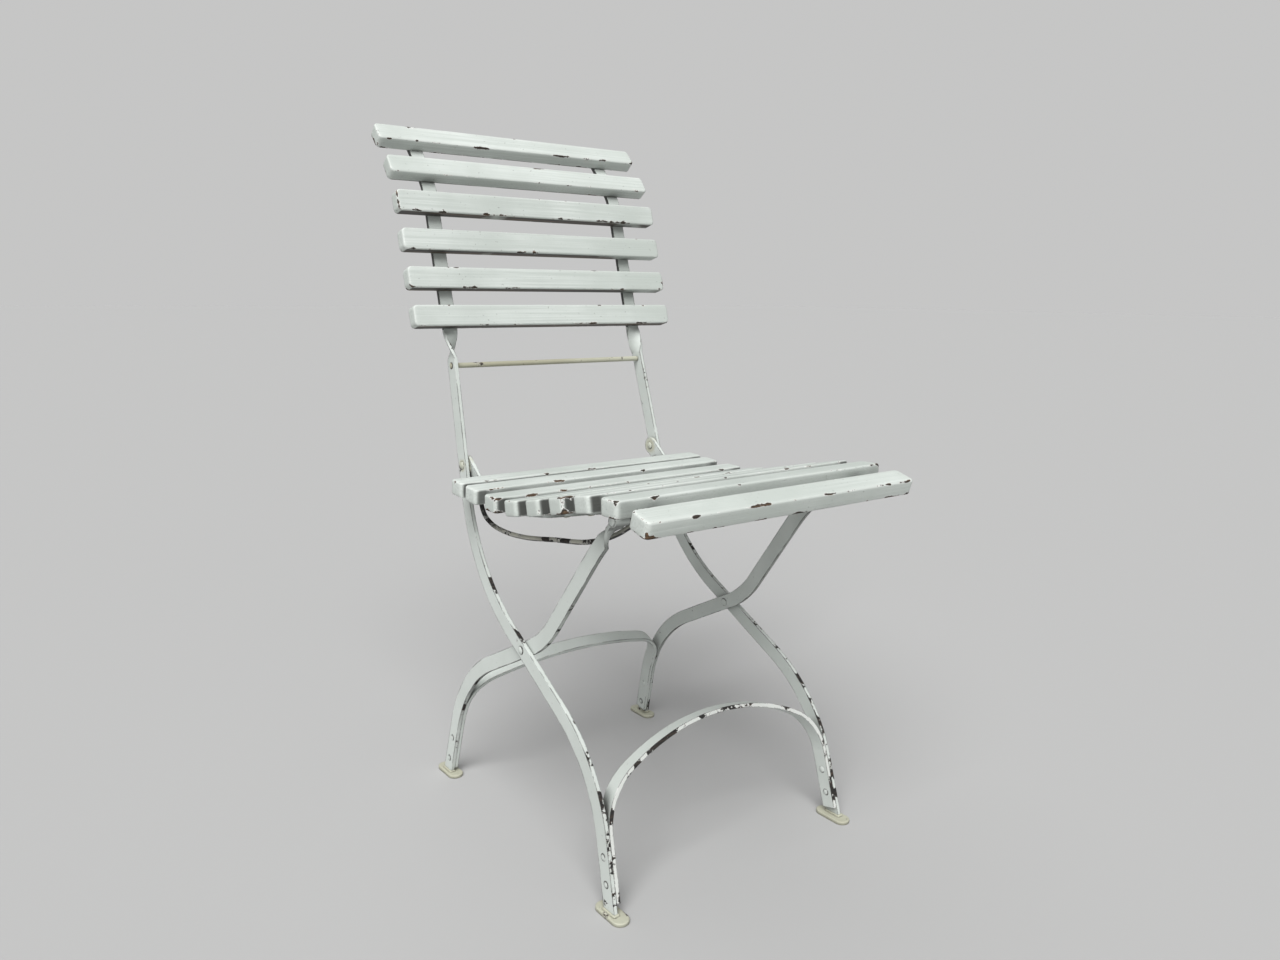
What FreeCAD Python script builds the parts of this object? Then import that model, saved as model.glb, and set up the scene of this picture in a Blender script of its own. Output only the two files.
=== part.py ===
import FreeCAD, Part
import math
import os
import Sketcher
from FreeCAD import Placement, Rotation, Vector

# Folding garden chair: a flat-bar scissor frame with wooden slats.
# X runs across the chair, minus Y is the front, Z is up; millimetres.
# The origin lies on the floor under the middle of the bounding box.

doc = FreeCAD.newDocument("garden_chair")
sheet = doc.addObject("Spreadsheet::Sheet", "Sheet")

DIMENSIONS = {
    # Bars and splay of the side frames
    "bar_width": 19.5,
    "bar_thick": 5.0,
    "splay": 0.0455,
    "long_bar_x": 179.4,
    "bar_gap": 1.0,
    # Pivots in side view
    "seat_pivot_y": 145.3,
    "seat_pivot_z": 447.5,
    "cross_pivot_y": -18.2,
    "cross_pivot_z": 243.5,
    "pin_radius": 3.5,
    "pin_clearance": 0.06,
    "pin_head_radius": 5.5,
    "pin_head_height": 2.2,
    "pin_head_gap": 0.4,
    "washer_thick": 0.5,
    "washer_radius": 7.0,
    # Long bar, from the crossing upwards and downwards
    "long_angle": 28.0,
    "back_angle": 74.5,
    "long_upper_bend": 250.0,
    "long_low_straight": 104.0,
    "long_low_bend": 184.0,
    "front_leg_angle": 75.5,
    "twist_above_seat_pivot": 137.0,
    "twist_length": 37.0,
    "back_bar_x": 150.4,
    "back_bend_radius": 54.0,
    "back_bend_angle": 20.5,
    "top_bend_radius": 220.0,
    "top_bend_angle": 7.0,
    "lowest_slat_past_twist": 16.8,
    "slat_seat_length": 28.0,
    "bar_past_slat": 10.0,
    # Short bar, from the crossing upwards and downwards
    "short_angle": 152.6,
    "short_mid_straight": 13.0,
    "short_mid_bend": 140.0,
    "short_mid_angle": -25.6,
    "short_top_bend": 274.0,
    "short_top_angle": 8.0,
    "short_top_straight": 31.8,
    "short_low_straight": 101.8,
    "short_low_bend": 186.0,
    "rear_leg_angle": -48.6,
    "eye_radius": 6.5,
    "eye_width": 19.0,
    "eye_strip": 14.0,
    "eye_twist": 26.0,
    "eye_rail_gap": 0.75,
    # Rods
    "slide_rod_radius": 3.5,
    "slide_rod_clearance": 0.05,
    "slide_collar_radius": 5.0,
    "slide_collar_thick": 1.5,
    "back_rod_radius": 3.5,
    "back_rod_above_seat_pivot": 128.0,
    "slide_collar_gap": 0.3,
    "tenon_radius": 2.5,
    "tenon_clearance": 0.05,
    "tenon_gap": 0.35,
    "tenon_head_radius": 4.5,
    "tenon_head_height": 1.5,
    # Back slats
    "slat_thick": 18.0,
    "back_slat_length": 414.0,
    "back_slat_width": 28.5,
    "back_slat_pitch": 50.6,
    "back_slat_edge": 2.5,
    # Seat slats
    "seat_slat_thick": 19.0,
    "seat_slat_length": 394.0,
    "seat_slat_width": 30.0,
    "seat_slat_edge": 3.0,
    "slat_under_edge": 2.0,
    "slat_corner": 6.0,
    "slat_land": 31.0,
    "slat_bend": 19.3,
    "slat_bend_front": 16.5,
    "slat_bend_rear": 6.0,
    # Seat rails
    "rail_inset": 1.0,
    "rail_width": 20.0,
    "rail_tail": 8.0,
    "rail_rear_ahead": 26.9,
    "rail_rear_drop": 27.1,
    "rail_front_past": 6.0,
    "ear_gap": 1.54,
    "ear_radius": 12.0,
    "ear_front_ahead": 33.5,
    "ear_shoulder_drop": 12.0,
    "ear_heel": 4.0,
    "ear_lean_angle": 37.0,
    # Guide bows
    "bow_rail_gap": 0.3,
    "bow_radius": 3.0,
    "bow_clearance": 0.5,
    "hook_clearance": 0.1,
    "hook_from_angle": 190.0,
    "hook_to_angle": 240.0,
    "bow_end_back": 25.0,
    "bow_end_angle": 280.0,
    "bow_rear_ahead": 12.3,
    "bow_rear_drop": 16.5,
    "seat_per_leg": 0.9,
    # Arches
    "front_arch_z": 78.0,
    "front_arch_low_z": 14.0,
    "front_arch_rise": 7.0,
    "front_arch_corner": 76.0,
    "front_arch_shoulder_angle": 152.0,
    "rear_arch_z": 108.0,
    "rear_arch_low_z": 12.0,
    "rear_arch_rise": 6.0,
    "rear_arch_corner": 50.0,
    "rear_arch_shoulder_angle": 165.0,
    "arch_joint": 12.0,
    "rivet_radius": 2.5,
    "rivet_head_radius": 4.5,
    "rivet_head_height": 1.2,
    "rivet_clearance": 0.04,
    "front_rivet_low_z": 34.0,
    "front_rivet_high_z": 63.0,
    "rear_rivet_low_z": 24.0,
    "rear_rivet_high_z": 57.0,
    # Foot plates
    "foot_length": 50.0,
    "foot_width": 21.0,
    "foot_thick": 4.5,
    "foot_corner": 10.4,
    "foot_edge": 1.2,
    "foot_under_edge": 0.4,
    "foot_inset": 2.0,
    # Slat screws
    "screw_radius": 2.0,
    "screw_clearance": 0.03,
    "screw_depth": 11.0,
    "screw_play": 0.5,
    "screw_head_radius": 4.5,
    "screw_head_height": 1.6,
}
for row, (alias, value) in enumerate(DIMENSIONS.items(), start=1):
    sheet.set(f"A{row}", alias)
    sheet.set(f"B{row}", str(value))
    sheet.setAlias(f"B{row}", alias)
doc.recompute()

# Tilt of each seat slat in degrees, rear to front, positive when it rises towards the front.
SEAT_TILTS = (-3.0, -4.0, -1.0, 8.5, 12.8, 13.0, 10.5, 1.0, -17.0)
SIDES = (("left", -1), ("right", 1))

# Folding turns of the legs, in degrees, at which the guide bow follows the slide rod's path.
BOW_TURNS = (8, 18, 28)

# Guide bow behind the rod's reach, from the seat pivot: ahead, below, heading in degrees.
BOW_REAR = (
    (179.3, 66.5, -10.5),
    (115.3, 76.5, -6.0),
    (70.3, 78.9, 1.0),
    (32.3, 74.5, 17.0),
    (15.3, 66.0, 42.0),
    (6.8, 51.5, 78.0),
)


def size(alias):
    """Give one driving dimension from the sheet."""
    return float(sheet.get(alias))


class Line:
    """Planar centre line of straight stretches and arcs, measured from its start."""

    def __init__(self, a, b, heading):
        self.points = [(a, b, heading)]
        self.parts = []

    @property
    def length(self):
        return sum(part[0] for part in self.parts)

    def straight(self, length):
        self._add(length, 0.0)
        return self

    def bend(self, radius, turn):
        span = math.radians(abs(turn)) * radius
        self._add(span, turn / span)
        return self

    def _add(self, length, rate):
        self.parts.append((length, rate))
        self.points.append(self._step(self.points[-1], length, rate))

    @staticmethod
    def _step(point, length, rate):
        a, b, heading = point
        turn = rate * length
        chord = length
        if abs(turn) > 1e-9:
            chord = 2 * length / math.radians(turn) * math.sin(math.radians(turn) / 2)
        middle = math.radians(heading + turn / 2)
        return a + chord * math.cos(middle), b + chord * math.sin(middle), heading + turn

    def at(self, station):
        """Give position and heading at a distance along the line."""
        for point, (length, rate) in zip(self.points, self.parts):
            if station <= length + 1e-9:
                return self._step(point, station, rate)
            station -= length
        return self._step(self.points[-1], station, 0.0)

    def reversed(self):
        a, b, heading = self.points[-1]
        line = Line(a, b, heading + 180)
        for length, rate in reversed(self.parts):
            line._add(length, -rate)
        return line

    def extended(self, other):
        line = Line(*self.points[0])
        for length, rate in self.parts + other.parts:
            line._add(length, rate)
        return line

    def mirrored_back(self):
        """Continue an arch from its crown down the other side."""
        line = Line(*self.points[-1])
        for length, rate in reversed(self.parts):
            line._add(length, rate)
        return line

    def station_at(self, height):
        """Find the distance along the line at which it reaches a height."""
        low = 0.0
        high = self.length
        rising = self.at(high)[1] > self.at(low)[1]
        for _ in range(60):
            middle = (low + high) / 2
            if (self.at(middle)[1] < height) == rising:
                low = middle
            else:
                high = middle
        return low

    def offset_point(self, station, aside):
        a, b, heading = self.at(station)
        angle = math.radians(heading + 90)
        return a + aside * math.cos(angle), b + aside * math.sin(angle)

    def height_over(self, a, b):
        """Measure how far a line that runs towards minus A lies above a point, square to it."""
        low = 0.0
        high = self.length
        for _ in range(60):
            middle = (low + high) / 2
            at_a, at_b, heading = self.at(middle)
            angle = math.radians(heading)
            if (a - at_a) * math.cos(angle) + (b - at_b) * math.sin(angle) > 0:
                low = middle
            else:
                high = middle
        at_a, at_b, heading = self.at(low)
        aside = math.radians(heading - 90)
        return (at_a - a) * math.cos(aside) + (at_b - b) * math.sin(aside)

    def face(self, width, start, end, place, aside=0.0):
        """Make the flat face of a strip that follows the line."""
        stops = [start]
        passed = 0.0
        for length, _ in self.parts:
            passed += length
            if start + 1e-6 < passed < end - 1e-6:
                stops.append(passed)
        stops.append(end)
        spans = list(zip(stops, stops[1:]))
        left = [self._edge(s, e, aside + width / 2, place) for s, e in spans]
        right = [self._edge(e, s, aside - width / 2, place) for s, e in reversed(spans)]
        cap_end = Part.makeLine(
            place(*self.offset_point(end, aside + width / 2)),
            place(*self.offset_point(end, aside - width / 2)),
        )
        cap_start = Part.makeLine(
            place(*self.offset_point(start, aside - width / 2)),
            place(*self.offset_point(start, aside + width / 2)),
        )
        return Part.Face(Part.Wire(left + [cap_end] + right + [cap_start]))

    def _edge(self, start, end, aside, place):
        first = place(*self.offset_point(start, aside))
        last = place(*self.offset_point(end, aside))
        turn = self.at(end)[2] - self.at(start)[2]
        if abs(turn) < 1e-6:
            return Part.makeLine(first, last)
        middle = place(*self.offset_point((start + end) / 2, aside))
        return Part.Arc(first, middle, last).toShape()


def side_point(y, z):
    """Place a side-view point in the middle plane."""
    return Vector(0, y, z)


def plate(line, width, start, end, x_from, x_to):
    """Pad a side-view strip across a range of X."""
    shape = line.face(width, start, end, side_point)
    shape.translate(Vector(x_from, 0, 0))
    return shape.extrude(Vector(x_to - x_from, 0, 0))


def rod(x_from, x_to, y, z, radius):
    """Make a round bar along X."""
    return Part.makeCylinder(radius, x_to - x_from, Vector(x_from, y, z), Vector(1, 0, 0))


def dome(centre, direction, radius, height):
    """Make a low round head that stands on a point and faces a direction."""
    ball = (radius * radius + height * height) / (2 * height)
    sphere = Part.makeSphere(ball, centre - direction * (ball - height))
    return sphere.common(Part.makeCylinder(radius, 2 * height, centre, direction))


def tilted(shape, bar_x):
    """Lean an upright side-frame shape inwards by the splay."""
    angle = -math.degrees(math.atan(size("splay")))
    shape.rotate(Vector(bar_x, 0, 0), Vector(0, 1, 0), angle)
    return shape


def tilted_point(point, bar_x):
    """Lean one point inwards by the splay."""
    turn = Rotation(Vector(0, 1, 0), -math.degrees(math.atan(size("splay"))))
    base = Vector(bar_x, 0, 0)
    return base + turn.multVec(point - base)


def section(centre, frame, width, thick):
    """Make a rectangular wire from a centre and a rotation."""
    across = frame.multVec(Vector(1, 0, 0)) * (width / 2)
    through = frame.multVec(Vector(0, 1, 0)) * (thick / 2)
    corners = [
        centre + across + through,
        centre - across + through,
        centre - across - through,
        centre + across - through,
    ]
    return Part.makePolygon(corners + corners[:1])


def twisted(first, first_frame, last, last_frame, width_from, width_to, thick, steps=8):
    """Make a twisted strip between two rectangular sections."""
    wires = []
    for step in range(steps + 1):
        share = step / steps
        frame = first_frame.slerp(last_frame, share)
        width = width_from + (width_to - width_from) * share
        wires.append(section(first + (last - first) * share, frame, width, thick))
    return Part.makeLoft(wires, True, False)


def side_heading(heading):
    """Give the direction of a side-view heading."""
    angle = math.radians(heading)
    return Vector(0, math.cos(angle), math.sin(angle))


def strip_frame(across, along):
    """Give the rotation whose X is the strip's width and whose Z runs along it."""
    return Rotation(across, along.cross(across), along, "ZXY")


def fused(shapes):
    """Join shapes into one clean solid."""
    joined = shapes[0].multiFuse(shapes[1:]).removeSplitter()
    if len(joined.Solids) != 1:
        raise RuntimeError(f"expected one solid, got {len(joined.Solids)}")
    return joined.Solids[0]


def mirrored(shape):
    """Mirror a shape across the middle plane of the chair."""
    return shape.mirror(Vector(0, 0, 0), Vector(1, 0, 0))


def keep(label, shape, origin):
    """Store a finished shape as its own object, placed at its own origin."""
    feature = doc.addObject("Part::Feature", label)
    feature.Label = label
    moved = shape.copy()
    moved.translate(-origin)
    feature.Shape = Part.makeCompound([moved])
    feature.Placement = Placement(origin, Rotation())
    return feature


def keep_pair(name, shape, origin):
    """Store a right-hand shape and its mirror image."""
    keep(f"right_{name}", shape, origin)
    keep(f"left_{name}", mirrored(shape), Vector(-origin.x, origin.y, origin.z))


SPACE = 1200.0
BAR = size("bar_width")
THICK = size("bar_thick")
LONG_X = size("long_bar_x")
SHORT_X = LONG_X - THICK - size("bar_gap")
SEAT_PIVOT = Vector(0, size("seat_pivot_y"), size("seat_pivot_z"))
CROSS_PIVOT = Vector(0, size("cross_pivot_y"), size("cross_pivot_z"))
PIN_HOLE = size("pin_radius") + size("pin_clearance")
FOOT_TOP = size("foot_thick")
ABOVE_FEET = Part.makeBox(SPACE, SPACE, SPACE, Vector(-SPACE / 2, -SPACE / 2, FOOT_TOP))


def bar_x_at(base_x, z):
    """Give the middle of a leaning bar at a height."""
    return base_x - size("splay") * z


EAR_X = bar_x_at(LONG_X, SEAT_PIVOT.z) - THICK - size("ear_gap")
RAIL_X = EAR_X - size("rail_inset")
BOW_X = RAIL_X - size("rail_width") / 2 - size("bow_radius") - size("bow_rail_gap")
EAR_X_RULE = "Sheet.long_bar_x - Sheet.splay * Sheet.seat_pivot_z - Sheet.bar_thick - Sheet.ear_gap"
RAIL_X_RULE = f"{EAR_X_RULE} - Sheet.rail_inset"

# Centre line of the long bar: foot, front bend, crossing, rear bend, back
long_down = Line(CROSS_PIVOT.y, CROSS_PIVOT.z, size("long_angle") + 180)
long_down.straight(size("long_low_straight"))
long_down.bend(size("long_low_bend"), size("front_leg_angle") - size("long_angle"))
long_down.straight(long_down.points[-1][1] / math.sin(math.radians(size("front_leg_angle"))))
low = math.radians(size("long_angle"))
steep = math.radians(size("back_angle"))
bend_y = size("long_upper_bend") * (math.sin(steep) - math.sin(low))
bend_z = size("long_upper_bend") * (math.cos(low) - math.cos(steep))
miss_y = SEAT_PIVOT.y - CROSS_PIVOT.y - bend_y
miss_z = SEAT_PIVOT.z - CROSS_PIVOT.z - bend_z
determinant = math.sin(steep - low)
long_mid_straight = (miss_y * math.sin(steep) - miss_z * math.cos(steep)) / determinant
long_up = Line(CROSS_PIVOT.y, CROSS_PIVOT.z, size("long_angle"))
long_up.straight(long_mid_straight)
long_up.bend(size("long_upper_bend"), size("back_angle") - size("long_angle"))
long_up.straight(SPACE)
long_line = long_down.reversed().extended(long_up)
twist_station = long_line.station_at(SEAT_PIVOT.z + size("twist_above_seat_pivot"))
lowest_slat_station = twist_station + size("twist_length") + size("lowest_slat_past_twist")

# Line of the front face of the upright stretch that carries the back slats
lowest_slat_y, lowest_slat_z = long_line.offset_point(lowest_slat_station, THICK / 2)
face_line = Line(lowest_slat_y, lowest_slat_z, size("back_angle"))
face_line.straight(3 * size("back_slat_pitch") + size("slat_seat_length") / 2)
face_line.bend(size("back_bend_radius"), -size("back_bend_angle"))
second_slat = face_line.length + size("slat_seat_length") / 2
face_line.straight(size("slat_seat_length"))
face_line.bend(size("top_bend_radius"), -size("top_bend_angle"))
top_slat = face_line.length + size("slat_seat_length") / 2
face_line.straight(size("slat_seat_length") / 2 + size("bar_past_slat"))
back_stations = [index * size("back_slat_pitch") for index in range(4)] + [second_slat, top_slat]

# Line of the upper face of the seat rail
front_bends = [size("slat_bend_front")] * 2
bends = [0.0, size("slat_bend_rear")] + [size("slat_bend")] * (len(SEAT_TILTS) - 4) + front_bends
rail_rear = SEAT_PIVOT - Vector(0, size("rail_rear_ahead"), size("rail_rear_drop"))
rail_line = Line(rail_rear.y, rail_rear.z, 180 - SEAT_TILTS[0])
rail_line.straight(size("rail_tail"))
seat_stations = []
for index, tilt in enumerate(SEAT_TILTS):
    if index > 0:
        turn = SEAT_TILTS[index - 1] - tilt
        rail_line.bend(bends[index] / math.radians(abs(turn)), turn)
    seat_stations.append(rail_line.length + size("slat_land") / 2)
    reach = size("slat_land")
    if index == len(SEAT_TILTS) - 1:
        reach = size("slat_land") / 2 + size("rail_front_past")
    rail_line.straight(reach)

# Centre line of the short bar: rear foot, rear bend, crossing, top
short_down = Line(CROSS_PIVOT.y, CROSS_PIVOT.z, size("short_angle") + 180)
short_down.straight(size("short_low_straight"))
short_down.bend(size("short_low_bend"), size("rear_leg_angle"))
rear_heading = math.radians(short_down.points[-1][2])
short_down.straight(-short_down.points[-1][1] / math.sin(rear_heading))


def short_top(straight):
    """Draw the short bar above the crossing with a given straight stretch."""
    line = Line(CROSS_PIVOT.y, CROSS_PIVOT.z, size("short_angle"))
    line.straight(size("short_mid_straight"))
    line.bend(size("short_mid_bend"), size("short_mid_angle"))
    line.straight(straight)
    line.bend(size("short_top_bend"), size("short_top_angle"))
    line.straight(size("short_top_straight"))
    return line


def eye_below_rail():
    """Find the straight stretch with which the eye lies just under the seat rail."""
    shortest = 0.0
    longest = SPACE / 2
    wanted = THICK + size("eye_radius") + size("eye_rail_gap")
    while longest - shortest > 1e-6:
        straight = (shortest + longest) / 2
        eye_y, eye_z, _ = short_top(straight).points[-1]
        if rail_line.height_over(eye_y, eye_z) > wanted:
            shortest = straight
        else:
            longest = straight
    return shortest


short_up = short_top(eye_below_rail())
short_line = short_down.reversed().extended(short_up)
SLIDE = Vector(0, short_up.points[-1][0], short_up.points[-1][1])
EYE_X = bar_x_at(SHORT_X, SLIDE.z)


def drill_from_middle(point, radius):
    """Make a drill that runs outwards from the middle plane past the right side frame."""
    return rod(0, LONG_X + THICK, point.y, point.z, radius)


def arch_rivet_points(line, heights):
    """Give the side-view points of the arch rivets on a leg."""
    points = []
    for height in heights:
        y, z, _ = line.at(line.station_at(height))
        points.append((y, z))
    return points


def arch_rivet_drills(points, bar_x):
    """Make the drills of the arch rivets through leg and arch end."""
    radius = size("rivet_radius") + size("rivet_clearance")
    x_from = bar_x - 2 * THICK
    x_to = bar_x + THICK
    return [tilted(rod(x_from, x_to, y, z, radius), bar_x) for y, z in points]


FRONT_RIVETS = arch_rivet_points(long_line, (size("front_rivet_low_z"), size("front_rivet_high_z")))
REAR_RIVETS = arch_rivet_points(short_line, (size("rear_rivet_low_z"), size("rear_rivet_high_z")))


def make_long_bar():
    """Make the right long bar: front leg, crossing, seat pivot and back upright."""
    lower = plate(long_line, BAR, 0, twist_station, LONG_X - THICK / 2, LONG_X + THICK / 2)
    lower = tilted(lower, LONG_X)
    y, z, heading = long_line.at(twist_station)
    first = tilted_point(Vector(LONG_X, y, z), LONG_X)
    along = tilted_point(Vector(LONG_X, 0, 0) + side_heading(heading), LONG_X) - Vector(LONG_X, 0, 0)
    front = tilted_point(Vector(LONG_X, 0, 0) + side_heading(heading + 90), LONG_X) - Vector(LONG_X, 0, 0)
    y_end, z_end, _ = long_line.at(twist_station + size("twist_length"))
    last = Vector(size("back_bar_x"), y_end, z_end)
    middle_line = side_heading(heading)
    twist = twisted(
        first,
        strip_frame(front, along),
        last,
        strip_frame(Vector(1, 0, 0), middle_line),
        BAR,
        BAR,
        THICK,
    )
    upper_line = upright_line(last)
    upper = plate(
        upper_line,
        THICK,
        0,
        upper_line.length,
        size("back_bar_x") - BAR / 2,
        size("back_bar_x") + BAR / 2,
    )
    bar = fused([lower, twist, upper]).common(ABOVE_FEET)
    drills = [
        drill_from_middle(CROSS_PIVOT, PIN_HOLE),
        drill_from_middle(SEAT_PIVOT, PIN_HOLE),
        drill_from_middle(back_rod_centre(), size("tenon_radius") + size("tenon_clearance")),
    ]
    drills += arch_rivet_drills(FRONT_RIVETS, LONG_X)
    drills += [screw_drill(*screw) for screw in back_screws(1)]
    for drill in drills:
        bar = bar.cut(drill)
    return bar.Solids[0]


def upright_line(start):
    """Give the middle line of the upright stretch, half a thickness behind its front face."""
    line = Line(start.y, start.z, size("back_angle"))
    line.straight(size("lowest_slat_past_twist") + face_line.parts[0][0])
    for length, rate in face_line.parts[1:]:
        if rate == 0.0:
            line.straight(length)
        else:
            turn = rate * length
            radius = length / math.radians(abs(turn))
            line.bend(radius - THICK / 2, turn)
    return line


def back_rod_centre():
    """Give the middle of the rod between the uprights."""
    y, z, _ = long_line.at(long_line.station_at(SEAT_PIVOT.z + size("back_rod_above_seat_pivot")))
    return Vector(0, y, z)


def back_slat_seats():
    """Give middle and heading of the bar's front face under each back slat, lowest first."""
    return [face_line.at(station) for station in back_stations]


def seat_slat_seats():
    """Give middle and heading of the rail's upper face under each seat slat, rear first."""
    return [rail_line.at(station) for station in seat_stations]


def face_line_middle(index):
    """Give the middle-plane point of the uprights' front face under one back slat."""
    y, z, _ = back_slat_seats()[index]
    return Vector(0, y, z)


def rail_line_middle(index):
    """Give the middle-plane point of the rails' upper face under one seat slat."""
    y, z, _ = seat_slat_seats()[index]
    return Vector(0, y, z)


def back_screws(side):
    """Give head point and inward direction of each back slat screw on one side."""
    screws = []
    for y, z, heading in back_slat_seats():
        inward = side_heading(heading + 90)
        head = Vector(side * size("back_bar_x"), y, z) - inward * THICK
        screws.append((head, inward))
    return screws


def seat_screws(side):
    """Give head point and inward direction of each seat slat screw on one side."""
    screws = []
    for y, z, heading in seat_slat_seats():
        inward = side_heading(heading - 90)
        head = Vector(side * RAIL_X, y, z) - inward * THICK
        screws.append((head, inward))
    return screws


def screw_drill(head, inward):
    """Make the drill of a slat screw in bar and slat."""
    radius = size("screw_radius") + size("screw_clearance")
    play = size("screw_play")
    deep = THICK + size("screw_depth") + 2 * play
    return Part.makeCylinder(radius, deep, head - inward * play, inward)


def screw(head, inward):
    """Make one round-headed slat screw."""
    shank = Part.makeCylinder(size("screw_radius"), THICK + size("screw_depth"), head, inward)
    cap = dome(head, -inward, size("screw_head_radius"), size("screw_head_height"))
    return fused([shank, cap])


def make_short_bar():
    """Make the right short bar: rear leg, crossing and rolled eye at the top."""
    top = short_line.length
    twist_top = top - size("eye_strip")
    twist_low = twist_top - size("eye_twist")
    lower = plate(short_line, BAR, 0, twist_low, SHORT_X - THICK / 2, SHORT_X + THICK / 2)
    lower = tilted(lower, SHORT_X)
    base = Vector(SHORT_X, 0, 0)
    y, z, heading = short_line.at(twist_low)
    first = tilted_point(Vector(SHORT_X, y, z), SHORT_X)
    along = tilted_point(base + side_heading(heading), SHORT_X) - base
    edge = tilted_point(base + side_heading(heading + 90), SHORT_X) - base
    y_end, z_end, end_heading = short_line.at(twist_top)
    last = Vector(EYE_X, y_end, z_end)
    twist = twisted(
        first,
        strip_frame(edge, along),
        last,
        strip_frame(Vector(1, 0, 0), side_heading(end_heading)),
        BAR,
        size("eye_width"),
        THICK,
    )
    half = size("eye_width") / 2
    strip = plate(short_line, THICK, twist_top, top, EYE_X - half, EYE_X + half)
    knuckle = rod(EYE_X - half, EYE_X + half, SLIDE.y, SLIDE.z, size("eye_radius"))
    bar = fused([lower, twist, strip, knuckle]).common(ABOVE_FEET)
    drills = [
        drill_from_middle(CROSS_PIVOT, PIN_HOLE),
        drill_from_middle(SLIDE, size("slide_rod_radius") + size("slide_rod_clearance")),
    ]
    drills += arch_rivet_drills(REAR_RIVETS, SHORT_X)
    for drill in drills:
        bar = bar.cut(drill)
    return bar.Solids[0]


def make_arch(line, bar_x, low_z, split_z, rise, corner, shoulder, rivets):
    """Make an arched spreader whose ends lie on the inner faces of two legs."""
    pad_x = bar_x - THICK
    low_station = line.station_at(low_z)
    split_station = line.station_at(split_z)
    pad = plate(line, BAR, low_station, split_station, pad_x - THICK / 2, pad_x + THICK / 2)
    pad = tilted(pad, bar_x)
    y, z, heading = line.at(split_station)
    base = Vector(bar_x, 0, 0)
    split = tilted_point(Vector(pad_x, y, z), bar_x)
    along = tilted_point(base + side_heading(heading), bar_x) - base
    edge = tilted_point(base + side_heading(heading + 90), bar_x) - base
    up = side_heading(heading)
    normal = side_heading(heading + 90)
    lean = 90 + math.degrees(math.atan(size("splay") * up.z))
    curve = Line(split.x, 0, lean)
    curve.straight(rise)
    curve.bend(corner, shoulder - lean)
    rest = 180 - shoulder
    curve.bend(curve.points[-1][0] / math.sin(math.radians(rest)), rest)
    whole = curve.extended(curve.mirrored_back())
    joint = size("arch_joint")
    origin = Vector(0, split.y, split.z)

    def place(x, s):
        return origin + Vector(x, 0, 0) + up * s

    band = whole.face(THICK, joint, whole.length - joint, place)
    band.translate(normal * (-BAR / 2))
    band = band.extrude(normal * BAR)
    a, b, turn = curve.at(joint)
    band_along = Vector(math.cos(math.radians(turn)), 0, 0) + up * math.sin(math.radians(turn))
    joint_piece = Part.makeLoft(
        [
            section(split, strip_frame(edge, along), BAR, THICK),
            section(place(a, b), strip_frame(normal, band_along), BAR, THICK),
        ],
        True,
        True,
    )
    pieces = [band, pad, joint_piece, mirrored(pad), mirrored(joint_piece)]
    arch = fused(pieces)
    for drill in arch_rivet_drills(rivets, bar_x):
        arch = arch.cut(drill).cut(mirrored(drill))
    return arch.Solids[0]


def arch_rivets(points, bar_x):
    """Make the four rivets of an arch as separate solids."""
    outer = bar_x + THICK / 2
    inner = bar_x - 3 * THICK / 2
    solids = []
    for y, z in points:
        shank = rod(inner, outer, y, z, size("rivet_radius"))
        radius = size("rivet_head_radius")
        height = size("rivet_head_height")
        outside = dome(Vector(outer, y, z), Vector(1, 0, 0), radius, height)
        inside = dome(Vector(inner, y, z), Vector(-1, 0, 0), radius, height)
        rivet = tilted(fused([shank, outside, inside]), bar_x)
        solids += [rivet, mirrored(rivet).Solids[0]]
    return Part.makeCompound(solids)


def pivot_pin(pivot, x_inner, x_outer):
    """Make a headed pivot pin along X between two face positions."""
    gap = size("pin_head_gap")
    shank = rod(x_inner - gap, x_outer + gap, pivot.y, pivot.z, size("pin_radius"))
    radius = size("pin_head_radius")
    height = size("pin_head_height")
    outside = dome(Vector(x_outer + gap, pivot.y, pivot.z), Vector(1, 0, 0), radius, height)
    inside = dome(Vector(x_inner - gap, pivot.y, pivot.z), Vector(-1, 0, 0), radius, height)
    return fused([shank, outside, inside])


def washer(pivot):
    """Make the washer that lies on the inner face of the long bar."""
    face = LONG_X - THICK / 2
    ring = rod(face - size("washer_thick"), face, pivot.y, pivot.z, size("washer_radius"))
    ring = tilted(ring, LONG_X)
    return ring.cut(drill_from_middle(pivot, PIN_HOLE)).Solids[0]


def slide_path(turn):
    """Give the slide rod in the seat's own view after the legs have folded by a turn."""
    fold = Rotation(Vector(1, 0, 0), -turn)
    raise_back = Rotation(Vector(1, 0, 0), turn * size("seat_per_leg"))
    moved = CROSS_PIVOT + fold.multVec(SLIDE - CROSS_PIVOT)
    return SEAT_PIVOT + raise_back.multVec(moved - SEAT_PIVOT)


def biarc(first, first_way, last, last_way):
    """Join two points with given directions by two arcs that meet smoothly."""
    gap = last - first
    ways = first_way + last_way
    spread = 2 * (1 - first_way.dot(last_way))
    along = gap.dot(ways)
    if spread < 1e-6:
        reach = gap.dot(gap) / (4 * gap.dot(last_way))
    else:
        reach = (-along + math.sqrt(along * along + spread * gap.dot(gap))) / spread
    middle = (first + first_way * reach + last - last_way * reach) * 0.5
    return [arc_from(first, first_way, middle), arc_from(last, last_way * -1, middle)]


def arc_from(start, way, end):
    """Make the arc that leaves a point in a direction and ends at another point."""
    chord = end - start
    along = Vector(chord).normalize()
    aside = way - along * way.dot(along)
    if aside.Length < 1e-4:
        return Part.makeLine(start, end)
    half_turn = math.asin(min(1.0, aside.Length))
    rise = chord.Length / 2 * math.tan(half_turn / 2)
    return Part.Arc(start, start + chord * 0.5 + aside.normalize() * rise, end).toShape()


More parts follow.
